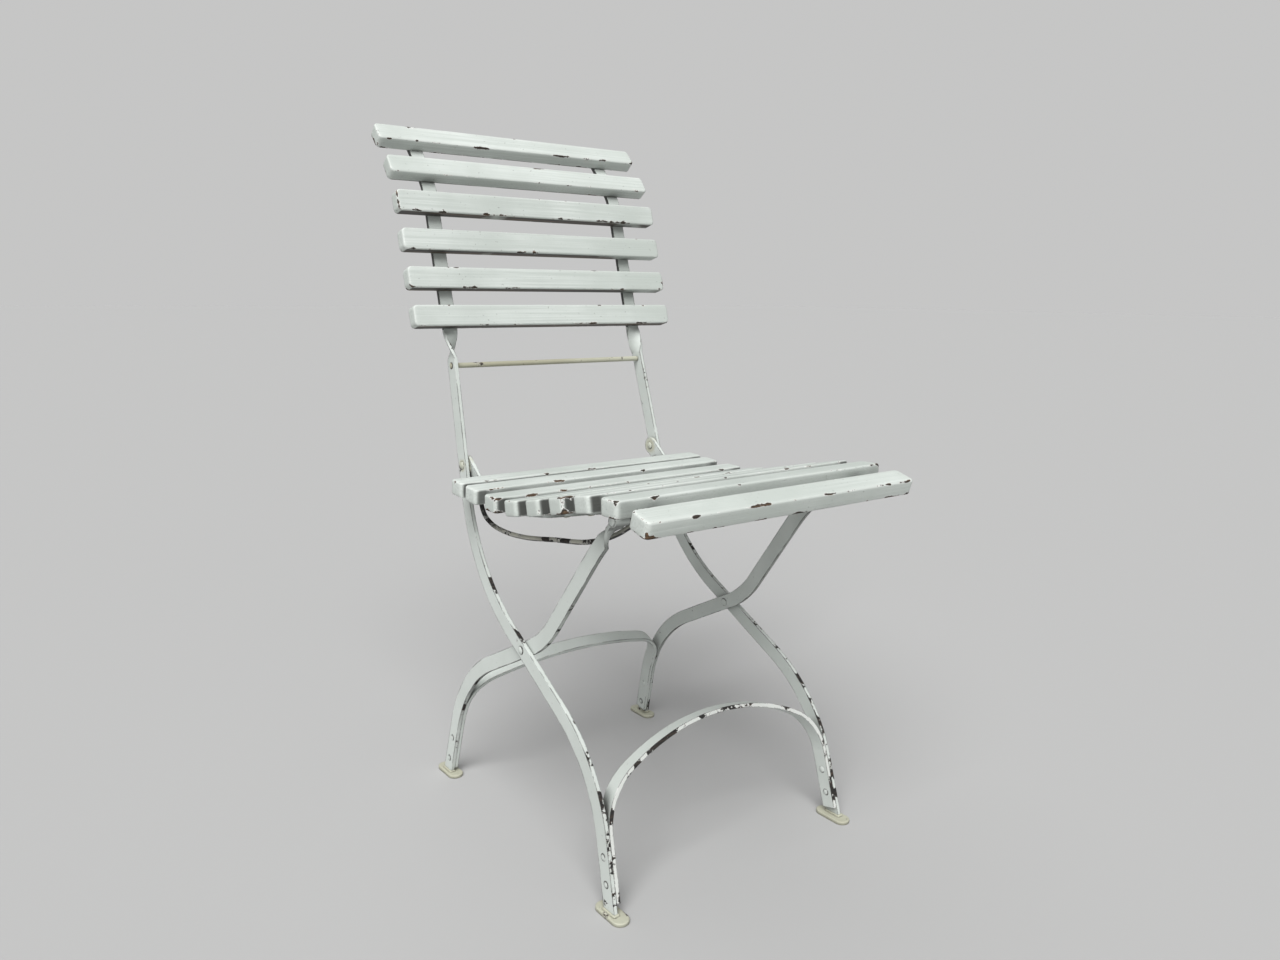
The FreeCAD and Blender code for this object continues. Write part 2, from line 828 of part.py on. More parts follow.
def make_bow():
    """Make the right guide bow: hook around the rod, run below its path, rise to the ear."""
    reach = size("slide_rod_radius") + size("bow_radius")
    x = Vector(BOW_X, 0, 0)
    hook = reach + size("hook_clearance")
    run = reach + size("bow_clearance")
    rail_y, rail_z = rail_line.offset_point(seat_stations[7] - size("bow_end_back"), THICK / 2)
    stops = [(x + Vector(0, rail_y, rail_z), side_heading(size("bow_end_angle")))]
    for angle in (size("hook_from_angle"), size("hook_to_angle")):
        stops.append((x + SLIDE + side_heading(angle) * hook, side_heading(angle + 90)))
    for turn in BOW_TURNS:
        along = (slide_path(turn + 1) - slide_path(turn - 1)).normalize()
        down = Vector(0, along.z, -along.y)
        stops.append((x + slide_path(turn) + down * run, along))
    for ahead, below, heading in BOW_REAR:
        stops.append((x + SEAT_PIVOT - Vector(0, ahead, below), side_heading(heading)))
    end = SEAT_PIVOT - Vector(0, size("bow_rear_ahead"), size("bow_rear_drop"))
    stops.append((end + Vector(EAR_X - THICK / 2, 0, 0), Vector(1, 0, 0)))
    edges = []
    for (first, first_way), (last, last_way) in zip(stops, stops[1:]):
        edges += biarc(first, first_way, last, last_way)
    spine = Part.Wire(Part.__sortEdges__(edges))
    ring = Part.Wire([Part.makeCircle(size("bow_radius"), *stops[0])])
    return spine.makePipeShell([ring], True, False).Solids[0]


def make_rail():
    """Make the right seat rail: flat strip under the slats and upright ear at the pivot."""
    x = RAIL_X
    half = size("rail_width") / 2
    face = rail_line.face(THICK, 0, rail_line.length, side_point, aside=THICK / 2)
    face.translate(Vector(x - half, 0, 0))
    strip = face.extrude(Vector(2 * half, 0, 0))
    rear_low = rail_line.offset_point(0, THICK)
    heel = size("ear_heel")
    front = SEAT_PIVOT.y - size("ear_front_ahead")
    root = rail_line.offset_point(rail_rear.y - front, THICK / 2)
    radius = size("ear_radius")
    lean = side_heading(size("ear_lean_angle")) * radius
    corners = [
        Vector(0, front, SEAT_PIVOT.z - size("ear_shoulder_drop")),
        SEAT_PIVOT + Vector(0, -lean.y, lean.z),
        SEAT_PIVOT + Vector(0, lean.y, -lean.z),
        Vector(0, rear_low[0] + heel, rear_low[1] + heel / 2),
        Vector(0, rear_low[0], rear_low[1]),
        Vector(0, front, root[1]),
    ]
    web = Part.Face(Part.makePolygon(corners + corners[:1]))
    inner = EAR_X - THICK / 2
    web.translate(Vector(inner, 0, 0))
    web = web.extrude(Vector(THICK, 0, 0))
    boss = rod(inner, inner + THICK, SEAT_PIVOT.y, SEAT_PIVOT.z, radius)
    rail = fused([strip, web, boss])
    rail = rail.cut(drill_from_middle(SEAT_PIVOT, PIN_HOLE))
    for head, inward in seat_screws(1):
        rail = rail.cut(screw_drill(head, inward))
    return rail.Solids[0]


def origin_plane(body, role):
    """Find one of a body's own base planes."""
    return next(item for item in body.Origin.OriginFeatures if item.Role == role)


def edges_between(shape, z_low, z_high):
    """Name the edges that run from one height to another."""
    names = []
    for index, edge in enumerate(shape.Edges, start=1):
        heights = sorted(corner.Z for corner in edge.Vertexes)
        if abs(heights[0] - z_low) < 1e-4 and abs(heights[-1] - z_high) < 1e-4:
            names.append(f"Edge{index}")
    return names


def slab(label, across, deep, thick, corner, upper_edge, under_edge):
    """Make a rounded slab: rectangle padded upwards, then its edges rounded."""
    body = doc.addObject("PartDesign::Body", label)
    body.Label = label
    sketch = body.newObject("Sketcher::SketchObject", f"{label}_plan")
    sketch.AttachmentSupport = [(origin_plane(body, "XY_Plane"), "")]
    sketch.MapMode = "FlatFace"
    half_x = size(across) / 2
    half_y = size(deep) / 2
    corners = [
        Vector(-half_x, -half_y, 0),
        Vector(half_x, -half_y, 0),
        Vector(half_x, half_y, 0),
        Vector(-half_x, half_y, 0),
    ]
    for start, end in zip(corners, corners[1:] + corners[:1]):
        sketch.addGeometry(Part.LineSegment(start, end), False)
    for index in range(4):
        sketch.addConstraint(Sketcher.Constraint("Coincident", index, 2, (index + 1) % 4, 1))
    for index in (0, 2):
        sketch.addConstraint(Sketcher.Constraint("Horizontal", index))
        sketch.addConstraint(Sketcher.Constraint("Vertical", index + 1))
    sketch.addConstraint(Sketcher.Constraint("Symmetric", 0, 1, 1, 2, -1, 1))
    width = sketch.addConstraint(Sketcher.Constraint("DistanceX", 0, 1, 0, 2, 2 * half_x))
    depth = sketch.addConstraint(Sketcher.Constraint("DistanceY", 1, 1, 1, 2, 2 * half_y))
    sketch.setExpression(f"Constraints[{width}]", f"Sheet.{across}")
    sketch.setExpression(f"Constraints[{depth}]", f"Sheet.{deep}")
    pad = body.newObject("PartDesign::Pad", f"{label}_pad")
    pad.Profile = sketch
    pad.setExpression("Length", f"Sheet.{thick}")
    doc.recompute()
    height = size(thick)
    rounds = (
        (corner, 0, height),
        (upper_edge, height, height),
        (under_edge, 0, 0),
    )
    previous = pad
    for alias, z_low, z_high in rounds:
        fillet = body.newObject("PartDesign::Fillet", f"{label}_{alias}")
        fillet.Base = (previous, edges_between(previous.Shape, z_low, z_high))
        fillet.setExpression("Radius", f"Sheet.{alias}")
        doc.recompute()
        previous = fillet
    body.Tip = previous
    return body


def screw_holes(body, x, x_rule, drill_depth):
    """Drill two blind screw holes from the underside of a slat."""
    before = body.Tip.Shape.Volume
    sketch = body.newObject("Sketcher::SketchObject", f"{body.Label}_holes")
    sketch.AttachmentSupport = [(origin_plane(body, "XY_Plane"), "")]
    sketch.MapMode = "FlatFace"
    radius = size("screw_radius") + size("screw_clearance")
    for index, side in enumerate((-1, 1)):
        circle = Part.Circle(Vector(side * x, 0, 0), Vector(0, 0, 1), radius)
        sketch.addGeometry(circle, False)
        ring = sketch.addConstraint(Sketcher.Constraint("Radius", index, radius))
        sketch.setExpression(f"Constraints[{ring}]", "Sheet.screw_radius + Sheet.screw_clearance")
        if side < 0:
            place = sketch.addConstraint(Sketcher.Constraint("DistanceX", index, 3, -1, 1, x))
        else:
            place = sketch.addConstraint(Sketcher.Constraint("DistanceX", -1, 1, index, 3, x))
        sketch.setExpression(f"Constraints[{place}]", x_rule)
        sketch.addConstraint(Sketcher.Constraint("PointOnObject", index, 3, -1))
    pocket = body.newObject("PartDesign::Pocket", f"{body.Label}_pocket")
    pocket.Profile = sketch
    pocket.Reversed = True
    pocket.setExpression("Length", drill_depth)
    doc.recompute()
    if pocket.Shape.Volume > before - 1.0:
        raise RuntimeError(f"no screw holes in {body.Label}")
    body.Tip = pocket


# Wooden slats of the back, lowest first, and of the seat, rear first
HOLE_DEPTH = "Sheet.screw_depth + Sheet.screw_play"
for number, (y, z, heading) in enumerate(back_slat_seats(), start=1):
    slat = slab(
        f"back_slat_{number}",
        "back_slat_length",
        "back_slat_width",
        "slat_thick",
        "slat_corner",
        "back_slat_edge",
        "slat_under_edge",
    )
    screw_holes(slat, size("back_bar_x"), "Sheet.back_bar_x", HOLE_DEPTH)
    slat.Placement = Placement(Vector(0, y, z), Rotation(Vector(1, 0, 0), heading))
for number, (y, z, heading) in enumerate(seat_slat_seats(), start=1):
    slat = slab(
        f"seat_slat_{number}",
        "seat_slat_length",
        "seat_slat_width",
        "seat_slat_thick",
        "slat_corner",
        "seat_slat_edge",
        "slat_under_edge",
    )
    screw_holes(slat, RAIL_X, RAIL_X_RULE, HOLE_DEPTH)
    slat.Placement = Placement(Vector(0, y, z), Rotation(Vector(1, 0, 0), heading - 180))

# Foot plates under the four legs
for place_name, line, bar_x in (("front", long_line, LONG_X), ("rear", short_line, SHORT_X)):
    foot_y, _, _ = line.at(line.station_at(FOOT_TOP))
    foot_x = bar_x_at(bar_x, FOOT_TOP) - size("foot_inset")
    for side_name, side in SIDES:
        foot = slab(
            f"{side_name}_{place_name}_foot",
            "foot_width",
            "foot_length",
            "foot_thick",
            "foot_corner",
            "foot_edge",
            "foot_under_edge",
        )
        foot.Placement = Placement(Vector(side * foot_x, foot_y, 0), Rotation())

# Metal pieces of the frame that stands still
keep_pair("long_bar", make_long_bar(), Vector(LONG_X, CROSS_PIVOT.y, CROSS_PIVOT.z))
front_arch = make_arch(
    long_line,
    LONG_X,
    size("front_arch_low_z"),
    size("front_arch_z"),
    size("front_arch_rise"),
    size("front_arch_corner"),
    size("front_arch_shoulder_angle"),
    FRONT_RIVETS,
)
arch_y, arch_z, _ = long_line.at(long_line.station_at(size("front_arch_z")))
keep("front_arch", front_arch, Vector(0, arch_y, arch_z))
keep("front_arch_rivets", arch_rivets(FRONT_RIVETS, LONG_X), Vector(0, arch_y, arch_z))
centre = back_rod_centre()
half_bar = THICK / 2 + size("tenon_gap")
inner_face = bar_x_at(LONG_X, centre.z) - half_bar
outer_face = bar_x_at(LONG_X, centre.z) + half_bar
rod_body = rod(-inner_face, inner_face, centre.y, centre.z, size("back_rod_radius"))
tenon = rod(-outer_face, outer_face, centre.y, centre.z, size("tenon_radius"))
tenon_end = centre + Vector(outer_face, 0, 0)
peened = dome(tenon_end, Vector(1, 0, 0), size("tenon_head_radius"), size("tenon_head_height"))
keep("back_cross_rod", fused([rod_body, tenon, peened, mirrored(peened)]), centre)
back_screw_solids = [screw(*item) for side in (-1, 1) for item in back_screws(side)]
keep("back_slat_screws", Part.makeCompound(back_screw_solids), face_line_middle(2))

cross_x = bar_x_at(LONG_X, CROSS_PIVOT.z)
cross_place = CROSS_PIVOT + Vector(cross_x, 0, 0)
cross_inner = bar_x_at(SHORT_X, CROSS_PIVOT.z) - THICK / 2
keep_pair("cross_pin", pivot_pin(CROSS_PIVOT, cross_inner, cross_x + THICK / 2), cross_place)
keep_pair("cross_washer", washer(CROSS_PIVOT), cross_place)
hinge_x = bar_x_at(LONG_X, SEAT_PIVOT.z)
hinge_place = SEAT_PIVOT + Vector(hinge_x, 0, 0)
ear_inner_face = EAR_X - THICK / 2
keep_pair("seat_pin", pivot_pin(SEAT_PIVOT, ear_inner_face, hinge_x + THICK / 2), hinge_place)
keep_pair("seat_washer", washer(SEAT_PIVOT), hinge_place)

# Rear legs, which turn about the crossing
keep_pair("short_bar", make_short_bar(), Vector(SHORT_X, CROSS_PIVOT.y, CROSS_PIVOT.z))
rear_arch = make_arch(
    short_line,
    SHORT_X,
    size("rear_arch_low_z"),
    size("rear_arch_z"),
    size("rear_arch_rise"),
    size("rear_arch_corner"),
    size("rear_arch_shoulder_angle"),
    REAR_RIVETS,
)
arch_y, arch_z, _ = short_line.at(short_line.station_at(size("rear_arch_z")))
keep("rear_arch", rear_arch, Vector(0, arch_y, arch_z))
keep("rear_arch_rivets", arch_rivets(REAR_RIVETS, SHORT_X), Vector(0, arch_y, arch_z))
reach = EYE_X + size("eye_width") / 2 + size("slide_collar_gap")
rod_end = reach + size("slide_collar_thick")
collar = rod(reach, rod_end, SLIDE.y, SLIDE.z, size("slide_collar_radius"))
slide = rod(-rod_end, rod_end, SLIDE.y, SLIDE.z, size("slide_rod_radius"))
keep("slide_rod", fused([slide, collar, mirrored(collar)]), SLIDE)

# Seat, which turns about its two pivots
keep_pair("seat_rail", make_rail(), SEAT_PIVOT + Vector(RAIL_X, 0, 0))
keep_pair("guide_bow", make_bow(), Vector(BOW_X, SLIDE.y, SLIDE.z))
seat_screw_solids = [screw(*item) for side in (-1, 1) for item in seat_screws(side)]
keep("seat_slat_screws", Part.makeCompound(seat_screw_solids), rail_line_middle(4))

doc.recompute()

os.makedirs("parts", exist_ok=True)
pieces = [item for item in doc.Objects if item.TypeId in ("PartDesign::Body", "Part::Feature")]
whole = FreeCAD.BoundBox()
for item in doc.Objects:
    if "Invalid" in item.State or "Error" in item.State:
        raise RuntimeError(f"{item.Label} did not recompute")
for piece in pieces:
    if piece.Shape.isNull() or not piece.Shape.isValid():
        raise RuntimeError(f"{piece.Label} is not a valid shape")
    whole.add(piece.Shape.BoundBox)
    piece.Shape.exportStep(f"parts/{piece.Label}.step")
print(len(pieces), "pieces", whole)
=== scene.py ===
"""Dress the folding garden chair: worn painted slats, chipped metal bars, studio and camera."""

import logging
import math
from dataclasses import dataclass, field, replace
from enum import Enum
from typing import Dict, Iterable, List, Mapping, Tuple, Union

import bmesh
import bpy
from mathutils import Matrix, Vector, noise


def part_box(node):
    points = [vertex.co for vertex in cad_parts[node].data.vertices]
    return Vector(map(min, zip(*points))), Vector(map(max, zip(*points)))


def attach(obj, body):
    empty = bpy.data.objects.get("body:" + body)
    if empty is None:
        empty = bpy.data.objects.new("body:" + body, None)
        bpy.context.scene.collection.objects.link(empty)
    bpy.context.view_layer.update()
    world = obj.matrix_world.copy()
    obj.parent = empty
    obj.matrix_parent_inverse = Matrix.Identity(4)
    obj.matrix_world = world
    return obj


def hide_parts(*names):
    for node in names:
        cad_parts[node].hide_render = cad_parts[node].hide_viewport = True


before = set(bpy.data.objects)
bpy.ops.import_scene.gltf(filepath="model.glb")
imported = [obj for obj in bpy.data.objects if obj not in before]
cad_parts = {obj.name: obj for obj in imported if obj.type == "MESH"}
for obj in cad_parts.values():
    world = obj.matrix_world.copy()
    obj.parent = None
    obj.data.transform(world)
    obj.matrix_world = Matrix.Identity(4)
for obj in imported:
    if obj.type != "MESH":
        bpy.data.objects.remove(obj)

LOG = logging.getLogger("garden_chair")
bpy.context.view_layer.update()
MM = 0.001
SHADING_SAMPLES = 6
SHARP_ANGLE = math.radians(50)
MERGE_DISTANCE = 1e-6
ALONG_X, ALONG_Y, ALONG_Z = (1.0, 0.0, 0.0), (0.0, 1.0, 0.0), (0.0, 0.0, 1.0)
Point = Tuple[float, float, float]
Colour = Tuple[float, float, float, float]
Socket = bpy.types.NodeSocket
Sockets = Mapping[str, Socket]
Value = Union[float, Tuple[float, ...], Socket]


class Place(Enum):
    """Bodies of the chair that pieces ride on."""

    FRAME = "frame"
    LEGS = "rear_legs"
    SEAT = "seat"


class EdgeSource(Enum):
    """Where a finish reads how near a spot lies to an edge."""

    ROUNDED = "rounded normal against face normal"
    PAINTED = "attribute that the piece's mesh carries"


class NarrowFaces(Enum):
    """Which faces are a flat bar's narrow ones, that knocks strip of paint."""

    NONE = "none"
    BARS = "across below the twist, sideways above it"
    ARCHES = "front and back"


@dataclass(frozen=True)
class Wiring:
    """Short ways to add linked nodes to one shader node tree."""

    tree: bpy.types.NodeTree

    def feed(self, socket: Socket, value: Value) -> None:
        """Link an input to another node's output, or set it to a plain value.

        Args:
            socket: The input.
            value: The output to link, or the number, vector or colour to set.
        """
        if isinstance(value, Socket):
            self.tree.links.new(value, socket)
        else:
            socket.default_value = value

    def add(
        self, kind: str, inputs: Mapping[Union[int, str], Value], operation: str = "",
    ) -> bpy.types.Node:
        """Add a node and feed its inputs.

        Args:
            kind: Its type.
            inputs: What each input gets, by name or number.
            operation: Its operation, where it has a choice of them.

        Returns:
            The node.
        """
        node = self.tree.nodes.new(kind)
        if operation:
            node.operation = operation
        for key, value in inputs.items():
            self.feed(node.inputs[key], value)
        return node

    def effect(self, group: bpy.types.NodeTree, inputs: Mapping[str, Value]) -> Sockets:
        """Place a shared effect.

        Args:
            group: The node group.
            inputs: What its inputs get. The others keep the group's own values.

        Returns:
            Its outputs.
        """
        node = self.tree.nodes.new("ShaderNodeGroup")
        node.node_tree = group
        for label, value in inputs.items():
            self.feed(node.inputs[label], value)
        return node.outputs

    def maths(
        self, operation: str, first: Value, second: Value = 0.0, third: Value = 0.0,
    ) -> Socket:
        """Work out a value from as many others as the operation takes."""
        inputs = {0: first, 1: second, 2: third}
        return self.add("ShaderNodeMath", inputs, operation).outputs["Value"]

    def scaled(self, mask: Socket, factor: float) -> Socket:
        """Weaken or strengthen a mask.

        Args:
            mask: Socket of the mask.
            factor: What it is multiplied by.

        Returns:
            The socket with the result, kept between 0 and 1.
        """
        node = self.add("ShaderNodeMath", {0: mask, 1: factor}, "MULTIPLY")
        node.use_clamp = True
        return node.outputs["Value"]

    def ramp(
        self, value: Value, start: Value, end: Value, low: float = 0.0, high: float = 1.0,
    ) -> Socket:
        """Map the values from start to end to those from low to high, held at both ends."""
        inputs = {
            "Value": value, "From Min": start, "From Max": end, "To Min": low, "To Max": high,
        }
        return self.add("ShaderNodeMapRange", inputs).outputs["Result"]

    def grain(
        self, where: Socket, scale: Value, layers: float, roughness: float = 0.5,
    ) -> Socket:
        """Add a noise texture, with its number of layers and how strongly the fine ones count."""
        inputs = {"Vector": where, "Scale": scale, "Detail": layers, "Roughness": roughness}
        return self.add("ShaderNodeTexNoise", inputs).outputs["Fac"]

    def here(self, kind: str = "Object") -> Socket:
        """Read the object's own coordinates, or another texture coordinate."""
        return self.add("ShaderNodeTexCoord", {}).outputs[kind]

    def split(self, vector: Socket) -> Sockets:
        """Take a vector apart into X, Y and Z."""
        return self.add("ShaderNodeSeparateXYZ", {"Vector": vector}).outputs

    def over(self, below: Value, above: Value, mask: Socket) -> Socket:
        """Lay one colour over another through a mask.

        Args:
            below: The lower colour.
            above: The upper colour.
            mask: Where the upper one shows.

        Returns:
            The socket with the mixed colour.
        """
        node = self.tree.nodes.new("ShaderNodeMix")
        node.data_type = "RGBA"
        colours = [socket for socket in node.inputs if socket.type == "RGBA"]
        self.feed(colours[0], below)
        self.feed(colours[1], above)
        self.feed(node.inputs["Factor"], mask)
        return next(socket for socket in node.outputs if socket.type == "RGBA")


class NodeGroups:
    """Shared shader effects, each built once.

    A step is the start and end of a ramp. A grain is a noise texture's layers and roughness.
    """

    EDGE_STEP = (0.997, 0.80)
    PATCH_GRAIN = (6.0, 0.66)
    STRETCH_GRAIN = (2.0, 0.5)
    STRETCH_SCALE = 0.17
    CHIP_STEP = (1.0, 1.025)
    RIM_STEP = (1.0, 1.02)
    BLOTCH_GRAIN = (4.0, 0.5)
    SPECKLE_GRAIN = (2.0, 0.5)
    SPECKLE_STEP = (0.70, 0.75)
    # CLOSED_STEP turns ambient occlusion into painted shade in corners and gaps.
    CLOSED_STEP = (0.82, 0.38)
    NARROW_STEP = (0.70, 0.90)
    LOW_STEP = (0.46, 0.24)
    LEAST_KNOCKED = 0.40
    RAGGED_GRAIN = (4.0, 0.6)
    RAGGED_SCALE = 160.0
    JOINT_PATCH_STEP = (1.45, 1.05)

    def __init__(self) -> None:
        """Build the groups."""
        self.corner = self._corner()
        self.chipping = self._chipping()
        self.grime_and_shade = self._grime_and_shade()
        self.joint_patch = self._joint_patch()
        self.facing = self._facing()

    @staticmethod
    def _group(
        name: str, inputs: Mapping[str, float], outputs: Iterable[str],
    ) -> Tuple[Wiring, Sockets, Sockets]:
        """Make an empty group with float sockets.

        Args:
            name: Name of the group.
            inputs: Input names with their defaults.
            outputs: Output names.

        Returns:
            The group's wiring, the sockets that bring its inputs and those that take its outputs.
        """
        tree = bpy.data.node_groups.new(name, "ShaderNodeTree")
        kind = "NodeSocketFloat"
        for label, default in inputs.items():
            socket = tree.interface.new_socket(name=label, in_out="INPUT", socket_type=kind)
            socket.default_value = default
        for label in outputs:
            tree.interface.new_socket(name=label, in_out="OUTPUT", socket_type=kind)
        source = tree.nodes.new("NodeGroupInput").outputs
        return Wiring(tree), source, tree.nodes.new("NodeGroupOutput").inputs

    def _corner(self) -> bpy.types.NodeTree:
        """Make the mask of sharp edges: the rounded normal turns away from the face normal.

        Returns:
            The group, with output Edge.
        """
        wires, source, target = self._group("corner", {"Radius": 1.6 * MM}, ("Edge",))
        bevel = wires.add("ShaderNodeBevel", {"Radius": source["Radius"]})
        bevel.samples = SHADING_SAMPLES
        face = wires.add("ShaderNodeNewGeometry", {})
        normals = {0: bevel.outputs["Normal"], 1: face.outputs["Normal"]}
        turn = wires.add("ShaderNodeVectorMath", normals, "DOT_PRODUCT")
        wires.feed(target["Edge"], wires.ramp(turn.outputs["Value"], *self.EDGE_STEP))
        return wires.tree

    def _chipping(self) -> bpy.types.NodeTree:
        """Make the flaked spots: rough noise that passes a limit, sooner near an edge.

        Returns:
            The group, with outputs Chip for the bare spot and Rim for the coat around it.
        """
        inputs = {
            "Edge": 0.0, "Amount": 0.5, "Scale": 90.0, "Gate": 0.5, "Gain": 1.7,
            "Rim Width": 0.05, "Along": 1.0,
        }
        wires, source, target = self._group("chipping", inputs, ("Chip", "Rim"))
        where = wires.here()
        along = wires.add("ShaderNodeCombineXYZ", {"X": source["Along"], "Y": 1.0, "Z": 1.0})
        factors = {0: where, 1: along.outputs["Vector"]}
        drawn_out = wires.add("ShaderNodeVectorMath", factors, "MULTIPLY")
        patches = wires.grain(drawn_out.outputs["Vector"], source["Scale"], *self.PATCH_GRAIN)
        slow = wires.maths("MULTIPLY", source["Scale"], self.STRETCH_SCALE)
        stretches = wires.grain(where, slow, *self.STRETCH_GRAIN)
        past_gate = wires.maths("SUBTRACT", stretches, source["Gate"])
        gated = wires.maths("MULTIPLY", past_gate, source["Gain"])
        near = wires.maths("MULTIPLY", source["Edge"], source["Amount"])
        total = wires.maths("ADD", wires.maths("ADD", near, patches), gated)
        wider = wires.maths("ADD", total, source["Rim Width"])
        wires.feed(target["Chip"], wires.ramp(total, *self.CHIP_STEP))
        wires.feed(target["Rim"], wires.ramp(wider, *self.RIM_STEP))
        return wires.tree

    def _grime_and_shade(self) -> bpy.types.NodeTree:
        """Make slow blotches, fine speckle, and painted shade in corners from ambient occlusion.

        Returns:
            The group, with outputs Blotch, Speckle, Crevice and Height.
        """
        inputs = {"Blotches": 9.0, "Speckles": 300.0, "Shelter": 12.0 * MM}
        outputs = ("Blotch", "Speckle", "Crevice Shade", "Height")
        wires, source, target = self._group("grime_and_shade", inputs, outputs)
        where = wires.here()
        blotch = wires.grain(where, source["Blotches"], *self.BLOTCH_GRAIN)
        speckle = wires.grain(where, source["Speckles"], *self.SPECKLE_GRAIN)
        # Painted shade: ambient occlusion within the shelter distance darkens corners and gaps.
        shelter = wires.add("ShaderNodeAmbientOcclusion", {"Distance": source["Shelter"]})
        shelter.samples = SHADING_SAMPLES
        wires.feed(target["Blotch"], blotch)
        wires.feed(target["Speckle"], wires.ramp(speckle, *self.SPECKLE_STEP))
        wires.feed(target["Crevice Shade"], wires.ramp(shelter.outputs["AO"], *self.CLOSED_STEP))
        wires.feed(target["Height"], wires.maths("ADD", blotch, speckle))
        return wires.tree

    def _facing(self) -> bpy.types.NodeTree:
        """Make the masks of surfaces that face down, and of a bar's or an arch's narrow faces.

        Returns:
            The group, with outputs Under, Side for narrow faces above a height, Bar and Arch.
        """
        inputs = {"Under Start": 0.7, "Under End": 0.97, "Height": 0.55}
        wires, source, target = self._group("facing", inputs, ("Under", "Side", "Bar", "Arch"))
        normal = wires.split(wires.here("Normal"))
        height = wires.split(wires.here())["Z"]
        down = wires.maths("MULTIPLY", normal["Z"], -1.0)
        side = wires.ramp(wires.maths("ABSOLUTE", normal["X"]), *self.NARROW_STEP)
        front = wires.ramp(wires.maths("ABSOLUTE", normal["Y"]), *self.NARROW_STEP)
        above = wires.maths("GREATER_THAN", height, source["Height"])
        wide = wires.maths("ABSOLUTE", wires.maths("SUBTRACT", side, above))
        low = wires.ramp(height, *self.LOW_STEP, self.LEAST_KNOCKED)
        narrow = wires.maths("MULTIPLY", wires.maths("SUBTRACT", 1.0, wide), low)
        under_shade = wires.ramp(down, source["Under Start"], source["Under End"])
        wires.feed(target["Under"], under_shade)
        wires.feed(target["Side"], wires.maths("MULTIPLY", side, above))
        wires.feed(target["Bar"], narrow)
        wires.feed(target["Arch"], front)
        return wires.tree

    def _joint_patch(self) -> bpy.types.NodeTree:
        """Make the patch round a joint's own axis, which runs along X.

        Returns:
            The group, with output Mask.
        """
        inputs = {"Y": 0.0, "Z": 0.0, "Reach": 14.0 * MM}
        wires, source, target = self._group("joint_patch", inputs, ("Mask",))
        where = wires.here()
        place = wires.split(where)
        gaps = {axis: wires.maths("SUBTRACT", place[axis], source[axis]) for axis in ("Y", "Z")}
        flat = wires.add("ShaderNodeCombineXYZ", gaps)
        distance = wires.add("ShaderNodeVectorMath", {0: flat.outputs["Vector"]}, "LENGTH")
        share = wires.maths("DIVIDE", distance.outputs["Value"], source["Reach"])
        ragged = wires.grain(where, self.RAGGED_SCALE, *self.RAGGED_GRAIN)
        rim = wires.maths("ADD", share, ragged)
        wires.feed(target["Mask"], wires.ramp(rim, *self.JOINT_PATCH_STEP))
        return wires.tree


@dataclass(frozen=True)
class Wear:
    """How far the paint is gone from edges and faces, and how much shade is painted into corners,
    gaps and onto downward faces.
    """

    source: EdgeSource = EdgeSource.ROUNDED
    edge_radius: float = 2.4 * MM
    chip_amount: float = 0.50
    chip_scale: float = 110.0
    chip_gate: float = 0.52
    chip_gain: float = 1.7
    chip_along: float = 1.0
    rim_width: float = 0.04
    edge_fade: float = 0.35
    speckle: float = 0.3
    # Strength of the painted shade in corners and gaps, and how far it reaches.
    crevice_shade: float = 0.45
    shelter: float = 15.0 * MM
    # Painted shade on downward faces: strength, and the steepness where it starts and is full.
    under_shade: float = 0.0
    under_shade_start: float = 0.70
    under_shade_end: float = 0.97
    bare_sides: float = 0.0
    bare_above: float = 0.622
    narrow: NarrowFaces = NarrowFaces.NONE
    narrow_share: float = 0.5


@dataclass(frozen=True)
class JointPatch:
    """A patch of another colour round the axis of a joint, such as worn paint at the seat pins.
    """

    node: str
    colour: Colour
    reach: float


